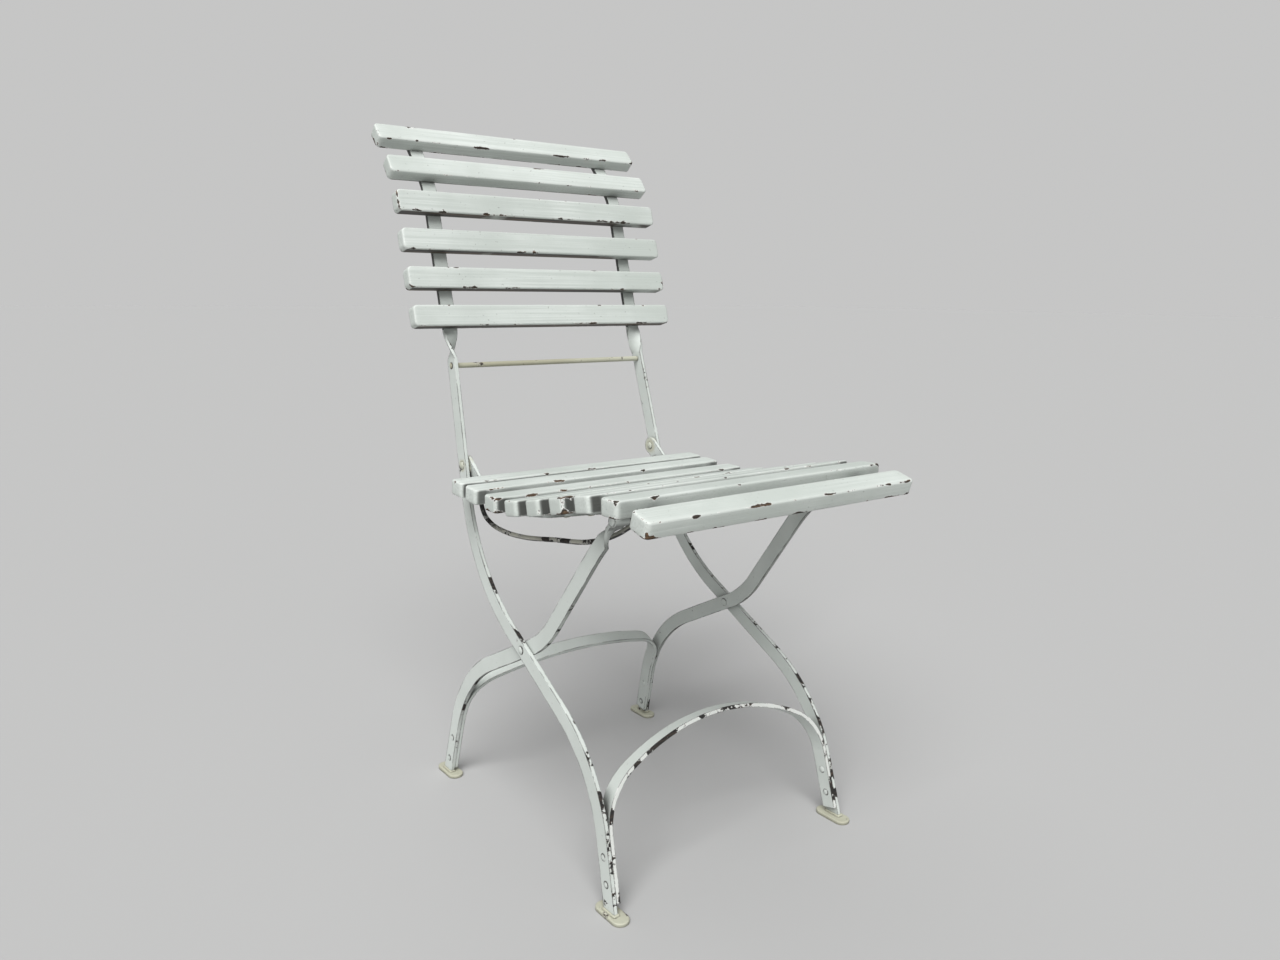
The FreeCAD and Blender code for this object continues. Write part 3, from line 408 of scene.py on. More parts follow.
@dataclass(frozen=True)
class OldPaint:
    """Brush paint that has chipped and faded outdoors, with painted shade in corners, gaps and on
    downward faces. A step is a ramp's start and end.
    """

    name: str
    paint: Colour
    shade: Colour
    undercoat: Colour
    bare: Colour
    bare_light: Colour
    wear: Wear
    roughness: float = 0.5
    bare_roughness: float = 0.85
    streaks: float = 0.0
    relief: float = 0.25
    # Colour of the painted shade in corners, slat gaps and on downward faces, and of dirt at the
    # feet's welds.
    shade_and_dirt: Colour = (0.10, 0.095, 0.075, 1.0)
    joint_patches: Tuple[JointPatch, ...] = ()

    PAINT_IOR = 1.46
    SHADE_STEP = (0.36, 0.66)
    STROKE_STEP = (0.42, 0.64)
    BARE_STEP = (0.48, 0.70)
    # Painted shade on downward faces: where streaks of bare wood show in it, and where it breaks
    # into patches.
    UNDER_SHADE_STEP = (0.62, 0.46)
    UNDER_PATCH_STEP = (0.66, 0.58)
    STROKE_STRETCH = (6.0, 380.0, 380.0)
    STROKE_SCALE = 1.0
    STROKE_LAYERS = 4.0
    LEAST_STREAKS = 0.15
    STROKE_HEIGHT = 2.0
    WAVE_HEIGHT = 0.35
    RELIEF_DEPTH = 0.5 * MM
    SOFT_EDGE = 0.9 * MM

    def material(self, groups: NodeGroups) -> bpy.types.Material:
        """Build the material.

        Args:
            groups: The shared shader effects.

        Returns:
            The finished material.
        """
        made = bpy.data.materials.new(self.name)
        made.use_nodes = True
        wires = Wiring(made.node_tree)
        shader = wires.tree.nodes["Principled BSDF"]
        wear = self.wear
        facing = wires.effect(groups.facing, {
            "Under Start": wear.under_shade_start, "Under End": wear.under_shade_end,
            "Height": wear.bare_above,
        })
        edge = self._edge(wires, groups, facing)
        chips = wires.effect(groups.chipping, {
            "Edge": edge, "Amount": wear.chip_amount, "Scale": wear.chip_scale,
            "Gate": wear.chip_gate, "Gain": wear.chip_gain, "Rim Width": wear.rim_width,
            "Along": wear.chip_along,
        })
        grime_and_shade = wires.effect(groups.grime_and_shade, {"Shelter": wear.shelter})
        streak = self._streak(wires)

        bare = wires.over(self.bare, self.bare_light, wires.ramp(streak, *self.BARE_STEP))
        shaded = wires.ramp(grime_and_shade["Blotch"], *self.SHADE_STEP)
        colour = wires.over(self.paint, self.shade, shaded)
        if self.streaks > 0.0:
            strokes = wires.scaled(wires.ramp(streak, *self.STROKE_STEP), self.streaks)
            colour = wires.over(colour, self.shade, strokes)
        colour = wires.over(colour, self.undercoat, wires.scaled(edge, wear.edge_fade))
        # Painted shade in corners and gaps, from ambient occlusion.
        colour = wires.over(colour, self.shade_and_dirt, wires.scaled(grime_and_shade["Crevice Shade"], wear.crevice_shade))
        colour = wires.over(colour, self.bare, wires.scaled(grime_and_shade["Speckle"], wear.speckle))
        # Painted shade: the dark gaps between slats near their ends, and downward faces, broken
        # into patches; on slats it mixes with streaks of bare wood.
        below = self.shade_and_dirt
        if wear.source is EdgeSource.PAINTED:
            colour = wires.over(colour, self.shade_and_dirt, self._attribute(wires, "shade_and_dirt"))
            below = wires.over(bare, self.shade_and_dirt, wires.ramp(streak, *self.UNDER_SHADE_STEP))
        under_shade_patches = wires.scaled(wires.ramp(grime_and_shade["Blotch"], *self.UNDER_PATCH_STEP), wear.under_shade)
        colour = wires.over(colour, below, wires.maths("MULTIPLY", facing["Under"], under_shade_patches))
        colour = wires.over(colour, self.bare, wires.scaled(facing["Side"], wear.bare_sides))
        for patch in self.joint_patches:
            colour = wires.over(colour, patch.colour, self._joint_patch(wires, groups, patch))
        colour = wires.over(colour, self.undercoat, chips["Rim"])
        colour = wires.over(colour, bare, chips["Chip"])
        rough = wires.ramp(chips["Rim"], 0.0, 1.0, self.roughness, self.bare_roughness)

        shader.inputs["IOR"].default_value = self.PAINT_IOR
        wires.feed(shader.inputs["Base Color"], colour)
        wires.feed(shader.inputs["Roughness"], rough)
        wires.feed(shader.inputs["Normal"], self._relief(wires, grime_and_shade, chips, streak))
        return made

    def _edge(self, wires: Wiring, groups: NodeGroups, facing: Sockets) -> Socket:
        """Read how near a spot lies to an edge, or whether it lies on a knocked narrow face.

        Args:
            wires: The material's wiring.
            groups: The shared shader effects.
            facing: Outputs of the facing effect.

        Returns:
            The socket with the mask.
        """
        if self.wear.source is EdgeSource.PAINTED:
            return self._attribute(wires, "edge")
        edge = wires.effect(groups.corner, {"Radius": self.wear.edge_radius})["Edge"]
        if self.wear.narrow is NarrowFaces.NONE:
            return edge
        face = facing["Bar" if self.wear.narrow is NarrowFaces.BARS else "Arch"]
        return wires.maths("MAXIMUM", edge, wires.scaled(face, self.wear.narrow_share))

    @staticmethod
    def _attribute(wires: Wiring, name: str) -> Socket:
        """Read a mask that the piece's own mesh carries.

        Args:
            wires: The material's wiring.
            name: Name of the mesh attribute.

        Returns:
            The socket with the mask.
        """
        read = wires.add("ShaderNodeAttribute", {})
        read.attribute_name = name
        return read.outputs["Fac"]

    @staticmethod
    def _joint_patch(wires: Wiring, groups: NodeGroups, patch: JointPatch) -> Socket:
        """Mark the patch round a joint's axis.

        Args:
            wires: The material's wiring.
            groups: The shared shader effects.
            patch: The patch, round the node that lies on the joint's axis.

        Returns:
            The socket with the mask.
        """
        low, high = limits(patch.node)
        centre = (low + high) / 2
        inputs = {"Y": centre.y, "Z": centre.z, "Reach": patch.reach}
        return wires.effect(groups.joint_patch, inputs)["Mask"]

    def _streak(self, wires: Wiring) -> Socket:
        """Make the brush strokes and grain that run across the chair.

        Args:
            wires: The material's wiring.

        Returns:
            The socket with the pattern.
        """
        inputs = {"Vector": wires.here(), "Scale": self.STROKE_STRETCH}
        drawn_out = wires.add("ShaderNodeMapping", inputs)
        return wires.grain(drawn_out.outputs["Vector"], self.STROKE_SCALE, self.STROKE_LAYERS)

    def _relief(self, wires: Wiring, grime_and_shade: Sockets, chips: Sockets, streak: Socket) -> Socket:
        """Sink the chips below the coat and raise the brush strokes.

        Args:
            wires: The material's wiring.
            grime_and_shade: Outputs of the grime effect.
            chips: Outputs of the chipping effect.
            streak: Socket of the brush strokes.

        Returns:
            The socket with the surface's normal.
        """
        height = max(self.streaks, self.LEAST_STREAKS) * self.STROKE_HEIGHT
        strokes = wires.scaled(streak, height)
        waves = wires.maths("MULTIPLY_ADD", grime_and_shade["Height"], self.WAVE_HEIGHT, strokes)
        bump = wires.add("ShaderNodeBump", {
            "Strength": self.relief, "Distance": self.RELIEF_DEPTH,
            "Height": wires.maths("SUBTRACT", waves, chips["Chip"]),
        })
        if self.wear.source is EdgeSource.ROUNDED:
            soft = wires.add("ShaderNodeBevel", {"Radius": self.SOFT_EDGE})
            soft.samples = SHADING_SAMPLES
            wires.feed(bump.inputs["Normal"], soft.outputs["Normal"])
        return bump.outputs["Normal"]


SAGE = (0.600, 0.638, 0.607, 1.0)
SAGE_SHADE = (0.535, 0.572, 0.540, 1.0)
SLAT_SHADE = (0.480, 0.520, 0.486, 1.0)
PRIMER = (0.740, 0.740, 0.710, 1.0)
IRON = (0.018, 0.017, 0.016, 1.0)
RUST = (0.060, 0.042, 0.032, 1.0)
# Colour of painted shade in corners, gaps and on downward faces.
SHADE_BLACK = (0.022, 0.021, 0.018, 1.0)
WOOD_DARK = (0.032, 0.024, 0.018, 1.0)
WOOD_LIGHT = (0.150, 0.088, 0.046, 1.0)
# Pale bow paint, which also paints the highlight along the rod's top.
BOW_PAINT_AND_HIGHLIGHT = (0.640, 0.640, 0.560, 1.0)
BOW_SHADE = (0.330, 0.325, 0.270, 1.0)
BEIGE = (0.480, 0.485, 0.390, 1.0)
BEIGE_SHADE = (0.360, 0.350, 0.260, 1.0)
BEIGE_PRIMER = (0.640, 0.630, 0.550, 1.0)
BEIGE_BARE = (0.050, 0.042, 0.032, 1.0)
# Colour of painted shade in the feet's corners and of the dirt at their welds.
BEIGE_SHADE_AND_DIRT = (0.045, 0.040, 0.030, 1.0)
FIXING_PAINT = (0.520, 0.550, 0.470, 1.0)
FIXING_BARE = (0.060, 0.046, 0.034, 1.0)


class Finishes:
    """All materials of the chair."""

    def __init__(self) -> None:
        """Build every material once."""
        groups = NodeGroups()
        self.slat = OldPaint(
            "slat_paint", SAGE, SLAT_SHADE, PRIMER, WOOD_DARK, WOOD_LIGHT,
            # Painted shade between and under the slats; the undersides mix it with streaks of
            # bare wood.
            Wear(
                source=EdgeSource.PAINTED, chip_amount=0.54, chip_scale=200.0, chip_gate=0.54,
                chip_gain=1.8, chip_along=0.60, edge_fade=0.12, speckle=0.50, crevice_shade=0.90,
                shelter=26.0 * MM, under_shade=0.97, under_shade_start=0.88, under_shade_end=0.94,
            ),
            roughness=0.55, streaks=0.75, relief=0.45, shade_and_dirt=SHADE_BLACK,
        ).material(groups)
        band = OldPaint(
            "band_paint", SAGE, SAGE_SHADE, PRIMER, IRON, RUST,
            # Painted shade in corners and on downward faces; rail, bar and arch take it over.
            Wear(
                edge_radius=2.6 * MM, chip_amount=0.66, chip_scale=200.0, chip_gain=2.0,
                rim_width=0.015, edge_fade=0.06, crevice_shade=0.7,
                under_shade=0.75, under_shade_start=0.55, under_shade_end=0.95,
            ),
            shade_and_dirt=SHADE_BLACK,
        )
        self.band = band.material(groups)
        self.rail = replace(
            band, name="rail_paint",
            # Heavy painted shade on the rails under the seat.
            wear=replace(band.wear, chip_gate=0.50, crevice_shade=0.95, shelter=40.0 * MM),
            joint_patches=(JointPatch("right_seat_pin", BEIGE, 15.0 * MM),),
        ).material(groups)
        self.bar = replace(
            band, name="bar_paint",
            # Less painted shade in corners, more on the bars' downward faces.
            wear=replace(
                band.wear, chip_amount=0.74, chip_scale=230.0, chip_gate=0.51, crevice_shade=0.35,
                bare_sides=0.90, under_shade_start=0.20, under_shade_end=0.80, narrow=NarrowFaces.BARS,
            ),
            joint_patches=(JointPatch("right_seat_pin", BEIGE, 10.5 * MM),),
        ).material(groups)
        self.arch = replace(
            band, name="arch_paint",
            # Painted shade in the crotch where the arch leaves each leg.
            wear=Wear(
                edge_radius=2.6 * MM, chip_amount=0.74, chip_scale=170.0, chip_gate=0.50,
                rim_width=0.03, edge_fade=0.80, crevice_shade=0.9, shelter=20.0 * MM,
                narrow=NarrowFaces.ARCHES, narrow_share=0.58,
            ),
        ).material(groups)
        self.bow = OldPaint(
            "bow_paint", BOW_PAINT_AND_HIGHLIGHT, BOW_SHADE, PRIMER, IRON, RUST,
            # Painted shade on the bow's underside.
            Wear(
                chip_amount=0.40, chip_scale=210.0, chip_gate=0.29, chip_gain=1.9,
                rim_width=0.03, speckle=0.7, under_shade=1.0, under_shade_start=0.25, under_shade_end=0.55,
            ),
            # The patch by the left seat pin darkens the bow up to 125 mm from the pin's axis.
            roughness=0.45, shade_and_dirt=IRON, joint_patches=(JointPatch("left_seat_pin", IRON, 125.0 * MM),),
        ).material(groups)
        self.beige = OldPaint(
            "worn_beige", BEIGE, BEIGE_SHADE, BEIGE_PRIMER, BEIGE_BARE, RUST,
            # Painted shade in corners, such as where the plates meet the floor, with dirt at the
            # welds.
            Wear(
                edge_radius=2.2 * MM, chip_amount=0.66, chip_scale=170.0, chip_gate=0.47,
                chip_gain=2.0, rim_width=0.02, edge_fade=0.10, speckle=0.8, crevice_shade=0.9,
                shelter=6.0 * MM,
            ),
            roughness=0.6, shade_and_dirt=BEIGE_SHADE_AND_DIRT,
        ).material(groups)
        self.fixing = OldPaint(
            "fixing_paint", FIXING_PAINT, BEIGE_SHADE, PRIMER, FIXING_BARE, RUST,
            # Painted shade in the corners round the heads.
            Wear(
                edge_radius=1.4 * MM, chip_amount=0.60, chip_scale=190.0, chip_gate=0.47,
                speckle=0.6, crevice_shade=0.9, shelter=6.0 * MM,
            ),
        ).material(groups)


def limits(node: str) -> Tuple[Vector, Vector]:
    """Read the box of a CAD node.

    Args:
        node: Name of the node.

    Returns:
        Its lowest and its highest corner.
    """
    low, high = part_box(node)
    return Vector(low), Vector(high)


def put_on(node: str, finish: bpy.types.Material) -> None:
    """Give one CAD node a finish.

    Args:
        node: Name of the node.
        finish: The material to use.
    """
    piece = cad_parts[node]
    piece.data.materials.clear()
    piece.data.materials.append(finish)


def piece_from(
    mesh: bmesh.types.BMesh, name: str, finish: bpy.types.Material,
) -> bpy.types.Object:
    """Turn a finished mesh into a smooth-shaded object in the scene.

    Args:
        mesh: The mesh, which is freed.
        name: Name of the piece.
        finish: Its material.

    Returns:
        The new object.
    """
    data = bpy.data.meshes.new(name)
    mesh.to_mesh(data)
    mesh.free()
    for face in data.polygons:
        face.use_smooth = True
    data.set_sharp_from_angle(angle=SHARP_ANGLE)
    data.materials.append(finish)
    piece = bpy.data.objects.new(name, data)
    bpy.context.scene.collection.objects.link(piece)
    return piece


def block(size: Point) -> bmesh.types.BMesh:
    """Make a box round the origin.

    Args:
        size: Its length along each axis.

    Returns:
        The mesh.
    """
    mesh = bmesh.new()
    bmesh.ops.create_cube(mesh, size=1.0)
    bmesh.ops.scale(mesh, vec=size, verts=mesh.verts)
    return mesh


def cut(mesh: bmesh.types.BMesh, point: Point, across: Point) -> None:
    """Cut a loop round a mesh.

    Args:
        mesh: The mesh.
        point: A point of the cutting plane.
        across: The plane's normal.
    """
    parts = mesh.verts[:] + mesh.edges[:] + mesh.faces[:]
    bmesh.ops.bisect_plane(mesh, geom=parts, plane_co=point, plane_no=across)


def round_off(
    mesh: bmesh.types.BMesh, edges: List[bmesh.types.BMEdge], radius: float, segments: int,
) -> None:
    """Round some edges.

    Args:
        mesh: The mesh.
        edges: The edges to round.
        radius: How far the rounding reaches.
        segments: Its steps.
    """
    bmesh.ops.bevel(
        mesh, geom=edges, offset=radius, offset_type="OFFSET", segments=segments,
        profile=0.5, affect="EDGES", clamp_overlap=True, material=-1,
    )


@dataclass
class Slats:
    """A row of wooden slats, each a worn rounded lath that stands for its solid."""

    prefix: str
    count: int
    width: float
    thick: float
    body: Place
    battered: Dict[int, float] = field(default_factory=dict)
    # Painted shade in the gaps between slats, by slat number.
    side_shade: Dict[int, float] = field(default_factory=dict)
    corner: float = 6.0 * MM
    upper_edge: float = 2.4 * MM
    under_edge: float = 2.0 * MM
    round_steps: int = 5
    under_steps: int = 2
    step: float = 7.0 * MM
    width_cuts: Tuple[float, ...] = (-0.26, -0.14, 0.0, 0.14, 0.26)
    height_cuts: Tuple[float, ...] = (0.3, 0.5, 0.65)
    edge_reach: float = 5.5 * MM
    corner_reach: float = 16.0 * MM
    edge_wear: float = 0.78
    edge_wear_at_corner: float = 0.12
    corner_wear: float = 0.06
    left_wear: float = 0.05
    left_power: int = 4
    most_wear: float = 1.3
    sheltered: float = 0.78
    # Reach of the painted gap shade on the slats' long sides.
    side_depth: float = 1.3 * MM
    side_reach: float = 14.0 * MM
    side_middle: float = 0.18
    seed_shift: Point = (7.31, 3.17, 1.73)
    sway: float = 0.25 * MM
    broad_share: float = 0.6
    broad_grain: float = 14.0
    fine_share: float = 0.4
    fine_grain: float = 95.0
    nick_grain: float = 60.0
    nick_limit: float = 0.35
    nick_depth: float = 3.0
    still_below: float = 0.6 * MM

    def lath(self, length: float, seed: int) -> bmesh.types.BMesh:
        """Model one lath with its underside on the plane z = 0.

        Args:
            length: Its length along X.
            seed: Its number in the row, which makes its wear its own.

        Returns:
            The mesh.
        """
        mesh = block((length, self.width, self.thick))
        bmesh.ops.translate(mesh, vec=(0.0, 0.0, self.thick / 2), verts=mesh.verts)
        round_off(mesh, self._upright(mesh), self.corner, self.round_steps)
        round_off(mesh, self._rim(mesh, self.thick), self.upper_edge, self.round_steps)
        round_off(mesh, self._rim(mesh, 0.0), self.under_edge, self.under_steps)
        cuts = int(length / self.step)
        for index in range(1, cuts):
            cut(mesh, (-length / 2 + length * index / cuts, 0.0, 0.0), ALONG_X)
        for share in self.width_cuts:
            cut(mesh, (0.0, self.width * share, 0.0), ALONG_Y)
        for share in self.height_cuts:
            cut(mesh, (0.0, 0.0, self.thick * share), ALONG_Z)
        self._mark_edges(mesh, length, self.battered.get(seed, 1.0))
        self._mark_sides(mesh, length, self.side_shade.get(seed, 0.0))
        self._weather(mesh, seed)
        return mesh

    @staticmethod
    def _upright(mesh: bmesh.types.BMesh) -> List[bmesh.types.BMEdge]:
        """Find the edges that stand along Z."""
        return [e for e in mesh.edges if abs(e.verts[0].co.z - e.verts[1].co.z) > 0.01 * MM]

    @staticmethod
    def _rim(mesh: bmesh.types.BMesh, height: float) -> List[bmesh.types.BMEdge]:
        """Find the edges round the face at a height."""
        return [e for e in mesh.edges if all(abs(v.co.z - height) < 0.001 * MM for v in e.verts)]

    def _mark_edges(self, mesh: bmesh.types.BMesh, length: float, battered: float) -> None:
        """Write on each point how near it lies to an edge or a corner of the lath.

        Args:
            mesh: The mesh.
            length: The lath's length.
            battered: How much harder than the others this lath is worn.
        """
        layer = mesh.verts.layers.float.new("edge")
        for vert in mesh.verts:
            gaps = sorted((
                length / 2 - abs(vert.co.x),
                self.width / 2 - abs(vert.co.y),
                min(vert.co.z, self.thick - vert.co.z),
            ))
            along = max(0.0, 1.0 - gaps[1] / self.edge_reach)
            at_corner = max(0.0, 1.0 - gaps[2] / self.corner_reach)
            worn = along * (self.edge_wear + self.edge_wear_at_corner * at_corner)
            worn += self.corner_wear * at_corner
            if vert.co.y > 0.0:
                worn *= self.sheltered
            leftward = max(0.0, -2.0 * vert.co.x / length) ** self.left_power
            left_end = self.left_wear * leftward * (along > 0.0)
            vert[layer] = min(self.most_wear, worn * battered + left_end)

    def _mark_sides(self, mesh: bmesh.types.BMesh, length: float, amount: float) -> None:
        """Write on each point how much painted shade of the gaps lies there, most near the ends.

        Args:
            mesh: The mesh.
            length: The lath's length.
            amount: Strength of the painted shade.
        """
        layer = mesh.verts.layers.float.new("shade_and_dirt")
        for vert in mesh.verts:
            depth = self.width / 2 - abs(vert.co.y)
            past = length / 2 - abs(vert.co.x) - self.side_reach
            near_end = min(1.0, max(self.side_middle, 1.0 - past / self.side_reach))
            vert[layer] = amount * near_end * max(0.0, 1.0 - depth / self.side_depth)

    def _weather(self, mesh: bmesh.types.BMesh, seed: int) -> None:
        """Press the surface in a little, most at edges and ends, as old planed wood is.

        Args:
            mesh: The mesh.
            seed: Number that makes its wear its own.
        """
        across, along, up = (seed * part for part in self.seed_shift)
        shift = Vector((across, along, self.thick / MM + up))
        layer = mesh.verts.layers.float["edge"]
        mesh.normal_update()
        moves = []
        for vert in mesh.verts:
            broad = 0.5 + 0.5 * noise.noise(vert.co * self.broad_grain + shift)
            fine = 0.5 + 0.5 * noise.noise(vert.co * self.fine_grain + shift)
            nick = noise.noise(vert.co * self.nick_grain - shift) - self.nick_limit
            worn = self.nick_depth * max(0.0, nick) * vert[layer]
            moves.append(-self.sway * (self.broad_share * broad + self.fine_share * fine + worn))
        for vert, move in zip(mesh.verts, moves):
            if vert.co.z > self.still_below:
                vert.co += vert.normal * move

    def build(self, finish: bpy.types.Material) -> List[bpy.types.Object]:
        """Build all laths in their places.

        Args:
            finish: Their material.

        Returns:
            The new objects.
        """
        made = []
        for number in range(1, self.count + 1):
            node = f"{self.prefix}_{number}"
            low, high = limits(node)
            outward, middle = self.bearing(node)
            across = Vector(ALONG_X)
            depth = outward.cross(across)
            turn = Matrix((across, depth, outward)).transposed().to_4x4()
            mesh = self.lath(high.x - low.x, number)
            centre = middle - outward * (self.thick / 2)
            mesh.transform(Matrix.Translation(centre) @ turn)
            lath = piece_from(mesh, f"{node}_lath", finish)
            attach(lath, self.body.value)
            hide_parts(node)
            made.append(lath)
        return made

    def bearing(self, node: str) -> Tuple[Vector, Vector]:
        """Read a solid's outward direction and middle from its own mesh.

        Args:
            node: Name of the slat's node.

        Returns:
            Unit vector from the underside to the top, and the middle point.
        """
        areas: Dict[Tuple[float, ...], float] = {}
        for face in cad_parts[node].data.polygons:
            key = tuple(round(value, 2) for value in face.normal)
            areas[key] = areas.get(key, 0.0) + face.area
        outward = Vector(max(areas, key=areas.get)).normalized()
        turned_over = outward.z < 0 if self.body is Place.SEAT else outward.y > 0
        if turned_over:
            outward.negate()
        low, high = limits(node)
        return outward, (low + high) / 2


@dataclass
class MetalFrame:
    """The metal nodes that keep their own shape and get their finishes."""

    bars: Tuple[str, ...] = (
        "left_long_bar", "right_long_bar", "left_short_bar", "right_short_bar",
    )
    rails: Tuple[str, ...] = ("left_seat_rail", "right_seat_rail")
    bands: Tuple[str, ...] = (
        "rear_arch", "front_arch_rivets", "rear_arch_rivets", "left_cross_pin",
        "right_cross_pin", "left_cross_washer", "right_cross_washer", "slide_rod",
    )
    arches: Tuple[str, ...] = ("front_arch",)
    beige: Tuple[str, ...] = (
        "left_front_foot", "right_front_foot", "left_rear_foot", "right_rear_foot",
        "back_cross_rod",
    )
    bows: Tuple[str, ...] = ("left_guide_bow", "right_guide_bow")
    fixings: Tuple[str, ...] = (
        "left_seat_pin", "right_seat_pin", "left_seat_washer", "right_seat_washer",
    )

    def dress(self, finishes: Finishes) -> None:
        """Put each finish on its nodes.

        Args:
            finishes: The chair's materials.
        """
        for nodes, finish in (
            (self.bars, finishes.bar), (self.rails, finishes.rail),
            (self.bands, finishes.band), (self.arches, finishes.arch),
            (self.beige, finishes.beige), (self.bows, finishes.bow),
            (self.fixings, finishes.fixing),
        ):
            for node in nodes:
                put_on(node, finish)
                LOG.info("%s dressed", node)


@dataclass
class ScrewHeads:
    """Slotted round heads of the slat screws, which stand for the plain screws."""

    node: str
    slats: Slats
    radius: float = 4.5 * MM
    height: float = 1.6 * MM
    bar_thick: float = 5.0 * MM
    slot: float = 0.55 * MM
    slot_wall: float = 0.12 * MM
    slot_depth: float = 0.8 * MM
    dome_steps: int = 5
    spin_steps: int = 20
    slot_turn: float = 1.9

    def head(self, turn: float) -> bmesh.types.BMesh:
        """Model one head that stands on the plane z = 0.

        Args:
            turn: Angle of its slot.

        Returns:
            The mesh.
        """
        mesh = bmesh.new()
        profile = [mesh.verts.new((0.0, 0.0, 0.0))]
        for step in range(self.dome_steps + 1):
            angle = math.radians(90.0 * step / self.dome_steps)
            point = (self.radius * math.cos(angle), 0.0, self.height * math.sin(angle))
            profile.append(mesh.verts.new(point))
        edges = [mesh.edges.new(pair) for pair in zip(profile, profile[1:])]
        bmesh.ops.spin(
            mesh, geom=profile + edges, cent=(0.0, 0.0, 0.0), axis=ALONG_Z,
            angle=math.tau, steps=self.spin_steps, use_merge=True, use_duplicate=False,
        )
        bmesh.ops.remove_doubles(mesh, verts=mesh.verts[:], dist=MERGE_DISTANCE)
        inner = self.slot - self.slot_wall
        for place in (-self.slot, -inner, inner, self.slot):
            cut(mesh, (0.0, place, 0.0), ALONG_Y)
        bottom = self.height - self.slot_depth
        for vert in mesh.verts:
            if abs(vert.co.y) < self.slot - self.slot_wall / 2 and vert.co.z > bottom:
                vert.co.z = bottom
        bmesh.ops.recalc_face_normals(mesh, faces=mesh.faces[:])
        bmesh.ops.rotate(mesh, verts=mesh.verts, matrix=Matrix.Rotation(turn, 3, "Z"))
        return mesh

    def build(self, finish: bpy.types.Material) -> bpy.types.Object:
        """Build the heads of a whole row of slats as one piece.

        Args:
            finish: Their material.

        Returns:
            The new object.
        """
        row = bmesh.new()
        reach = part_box(self.node)[1][0] - self.radius
        for number in range(1, self.slats.count + 1):
            outward, middle = self.slats.bearing(f"{self.slats.prefix}_{number}")
            base = middle - outward * (self.slats.thick / 2 + self.bar_thick)
            turn = outward.to_track_quat("-Z", "Y").to_matrix().to_4x4()
            for side in (-1.0, 1.0):
                head = self.head(number * self.slot_turn + side)
                place = base + Vector((side * reach, 0.0, 0.0))
                head.transform(Matrix.Translation(place) @ turn)
                data = bpy.data.meshes.new("head")
                head.to_mesh(data)
                head.free()
                row.from_mesh(data)
                bpy.data.meshes.remove(data)
        piece = piece_from(row, f"{self.node}_heads", finish)
        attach(piece, self.slats.body.value)
        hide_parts(self.node)
        return piece


@dataclass
class WeldBeads:
    """Rough beads where the legs stand on their foot plates."""

    foot: str
    body: Place
    leg_thick: float = 5.0 * MM
    leg_width: float = 20.2 * MM
    inset: float = 2.0 * MM
    spread: float = 2.2 * MM
    height: float = 2.4 * MM
    round_share: float = 0.95
    round_steps: int = 4
    long_edge: float = 4.0 * MM
    cuts: int = 14
    roughness: float = 0.35 * MM
    grain: float = 420.0
    grain_shift: float = 40.0

    def build(self, finish: bpy.types.Material) -> bpy.types.Object:
        """Build the bead round one leg.

        Args:
            finish: Its material.

        Returns:
            The new object.
        """
        low, high = limits(self.foot)
        side = 1.0 if high.x > 0 else -1.0
        mesh = block((
            self.leg_thick + 2 * self.spread, self.leg_width + 2 * self.spread, 2 * self.height,
        ))
        round_off(mesh, mesh.edges[:], self.spread * self.round_share, self.round_steps)
        long_edges = [e for e in mesh.edges if e.calc_length() > self.long_edge]
        bmesh.ops.subdivide_edges(mesh, edges=long_edges, cuts=self.cuts, use_grid_fill=True)
        bmesh.ops.remove_doubles(mesh, verts=mesh.verts[:], dist=MERGE_DISTANCE)
        mesh.normal_update()
        shift = Vector((low.x, low.y, 0.0)) * self.grain_shift
        for vert in mesh.verts:
            ripple = noise.noise(vert.co * self.grain + shift)
            vert.co += vert.normal * (self.roughness * (ripple - 0.5))
        middle = (low + high) / 2
        place = Vector((middle.x + side * self.inset, middle.y, high.z))
        bmesh.ops.translate(mesh, vec=place, verts=mesh.verts)
        piece = piece_from(mesh, f"{self.foot}_weld", finish)
        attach(piece, self.body.value)
        return piece


@dataclass(frozen=True)
class Sun:
    """A distant lamp with a wide soft disc."""

    name: str
    direction: Point
    spread: float
    power: float


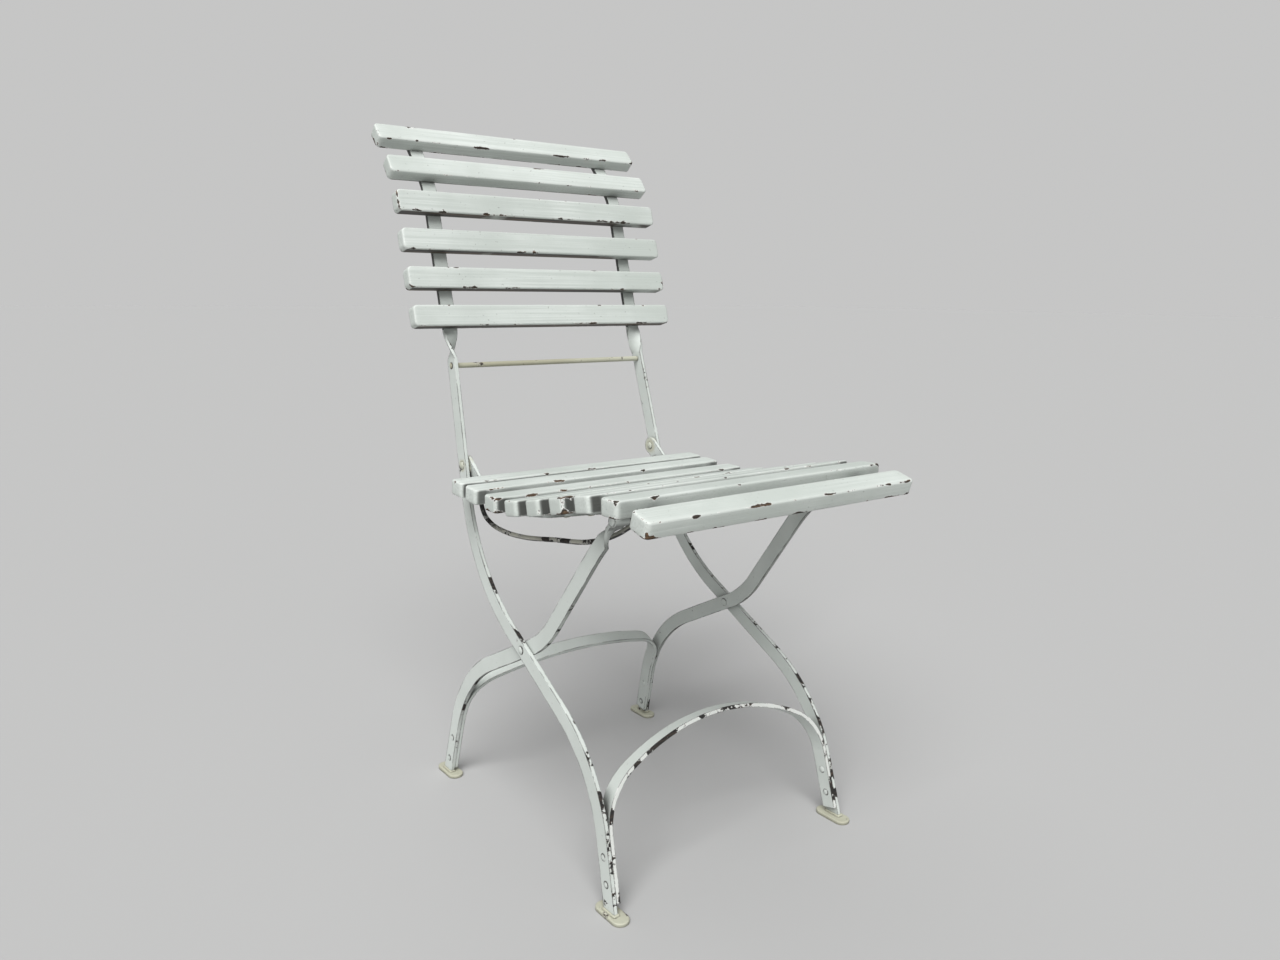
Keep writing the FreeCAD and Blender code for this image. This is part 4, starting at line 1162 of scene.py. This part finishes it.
@dataclass
class Studio:
    """Floor, soft lights and the camera."""

    eye: Point = (-0.7457, -1.0158, 0.6733)
    yaw: float = 0.6472
    pitch: float = 0.1879
    roll: float = 0.0098
    lens: float = 27.76
    sensor: float = 36.0
    floor_size: float = 40.0
    floor_colour: Colour = (0.43, 0.43, 0.427, 1.0)
    glow: float = 0.12
    glow_colour: Colour = (0.97, 0.98, 1.0, 1.0)
    backdrop: float = 0.575
    backdrop_colour: Colour = (0.98, 0.98, 0.975, 1.0)
    suns: Tuple[Sun, ...] = (
        Sun("key", (-1.2, -1.15, 1.9), 45.0, 3.9),
        Sun("top", (0.0, 0.3, 1.0), 60.0, 0.7),
        Sun("fill", (-0.3, -1.4, 0.45), 70.0, 0.45),
    )

    def floor(self) -> None:
        """Lay a plain pale floor."""
        mesh = bmesh.new()
        bmesh.ops.create_grid(mesh, x_segments=1, y_segments=1, size=self.floor_size)
        finish = bpy.data.materials.new("studio_floor")
        finish.use_nodes = True
        shader = finish.node_tree.nodes["Principled BSDF"]
        shader.inputs["Base Color"].default_value = self.floor_colour
        shader.inputs["Roughness"].default_value = 1.0
        shader.inputs["Specular IOR Level"].default_value = 0.0
        piece_from(mesh, "studio_floor", finish)

    def lights(self) -> None:
        """Light the chair softly from above and the front left, before a pale backdrop."""
        world = bpy.data.worlds.new("studio")
        world.use_nodes = True
        wires = Wiring(world.node_tree)
        glow = wires.tree.nodes["Background"]
        glow.inputs["Color"].default_value = self.glow_colour
        glow.inputs["Strength"].default_value = self.glow
        backdrop = wires.add(
            "ShaderNodeBackground", {"Color": self.backdrop_colour, "Strength": self.backdrop},
        )
        seen = wires.add("ShaderNodeLightPath", {})
        choose = wires.add("ShaderNodeMixShader", {
            "Fac": seen.outputs["Is Camera Ray"],
            1: glow.outputs["Background"],
            2: backdrop.outputs["Background"],
        })
        surface = wires.tree.nodes["World Output"].inputs["Surface"]
        wires.feed(surface, choose.outputs["Shader"])
        bpy.context.scene.world = world
        bpy.context.scene.view_settings.view_transform = "Standard"
        for sun in self.suns:
            lamp = bpy.data.lights.new(sun.name, "SUN")
            lamp.angle = math.radians(sun.spread)
            lamp.energy = sun.power
            holder = bpy.data.objects.new(sun.name, lamp)
            holder.rotation_euler = Vector(sun.direction).to_track_quat("Z", "Y").to_euler()
            bpy.context.scene.collection.objects.link(holder)

    def camera(self) -> None:
        """Stand the camera where the photograph was taken."""
        ahead = Vector((
            math.sin(self.yaw) * math.cos(self.pitch),
            math.cos(self.yaw) * math.cos(self.pitch),
            -math.sin(self.pitch),
        ))
        level = Vector((math.cos(self.yaw), -math.sin(self.yaw), 0.0))
        above = level.cross(ahead)
        right = level * math.cos(self.roll) + above * math.sin(self.roll)
        above = above * math.cos(self.roll) - level * math.sin(self.roll)
        lens = bpy.data.cameras.new("photo_view")
        lens.sensor_width = self.sensor
        lens.lens = self.lens
        viewer = bpy.data.objects.new("photo_view", lens)
        turn = Matrix((right, above, -ahead)).transposed().to_4x4()
        viewer.matrix_world = Matrix.Translation(self.eye) @ turn
        bpy.context.scene.collection.objects.link(viewer)
        bpy.context.scene.camera = viewer


def main() -> None:
    """Build, dress and place everything."""
    logging.basicConfig(level=logging.INFO, format="%(message)s")
    finishes = Finishes()
    seat = Slats(
        "seat_slat", 9, 30.0 * MM, 19.0 * MM, Place.SEAT, battered={9: 1.50},
        # Painted shade in the gaps between the seat slats.
        side_shade={1: 0.70, 2: 0.75, 3: 0.85, 4: 0.88, 5: 0.90, 6: 0.90, 7: 0.88, 8: 0.25},
        upper_edge=2.8 * MM,
    )
    back = Slats(
        "back_slat", 6, 28.5 * MM, 18.0 * MM, Place.FRAME,
        battered={1: 1.10, 4: 1.30, 5: 1.15, 6: 1.20},
    )
    for row in (seat, back):
        for lath in row.build(finishes.slat):
            LOG.info("%s built", lath.name)
        heads = ScrewHeads(f"{row.prefix}_screws", row).build(finishes.fixing)
        LOG.info("%s built", heads.name)
    for side in ("left", "right"):
        for end, body in (("front", Place.FRAME), ("rear", Place.LEGS)):
            beads = WeldBeads(f"{side}_{end}_foot", body).build(finishes.beige)
            LOG.info("%s built", beads.name)
    MetalFrame().dress(finishes)
    studio = Studio()
    studio.floor()
    studio.lights()
    studio.camera()


if __name__ == "__main__":
    main()
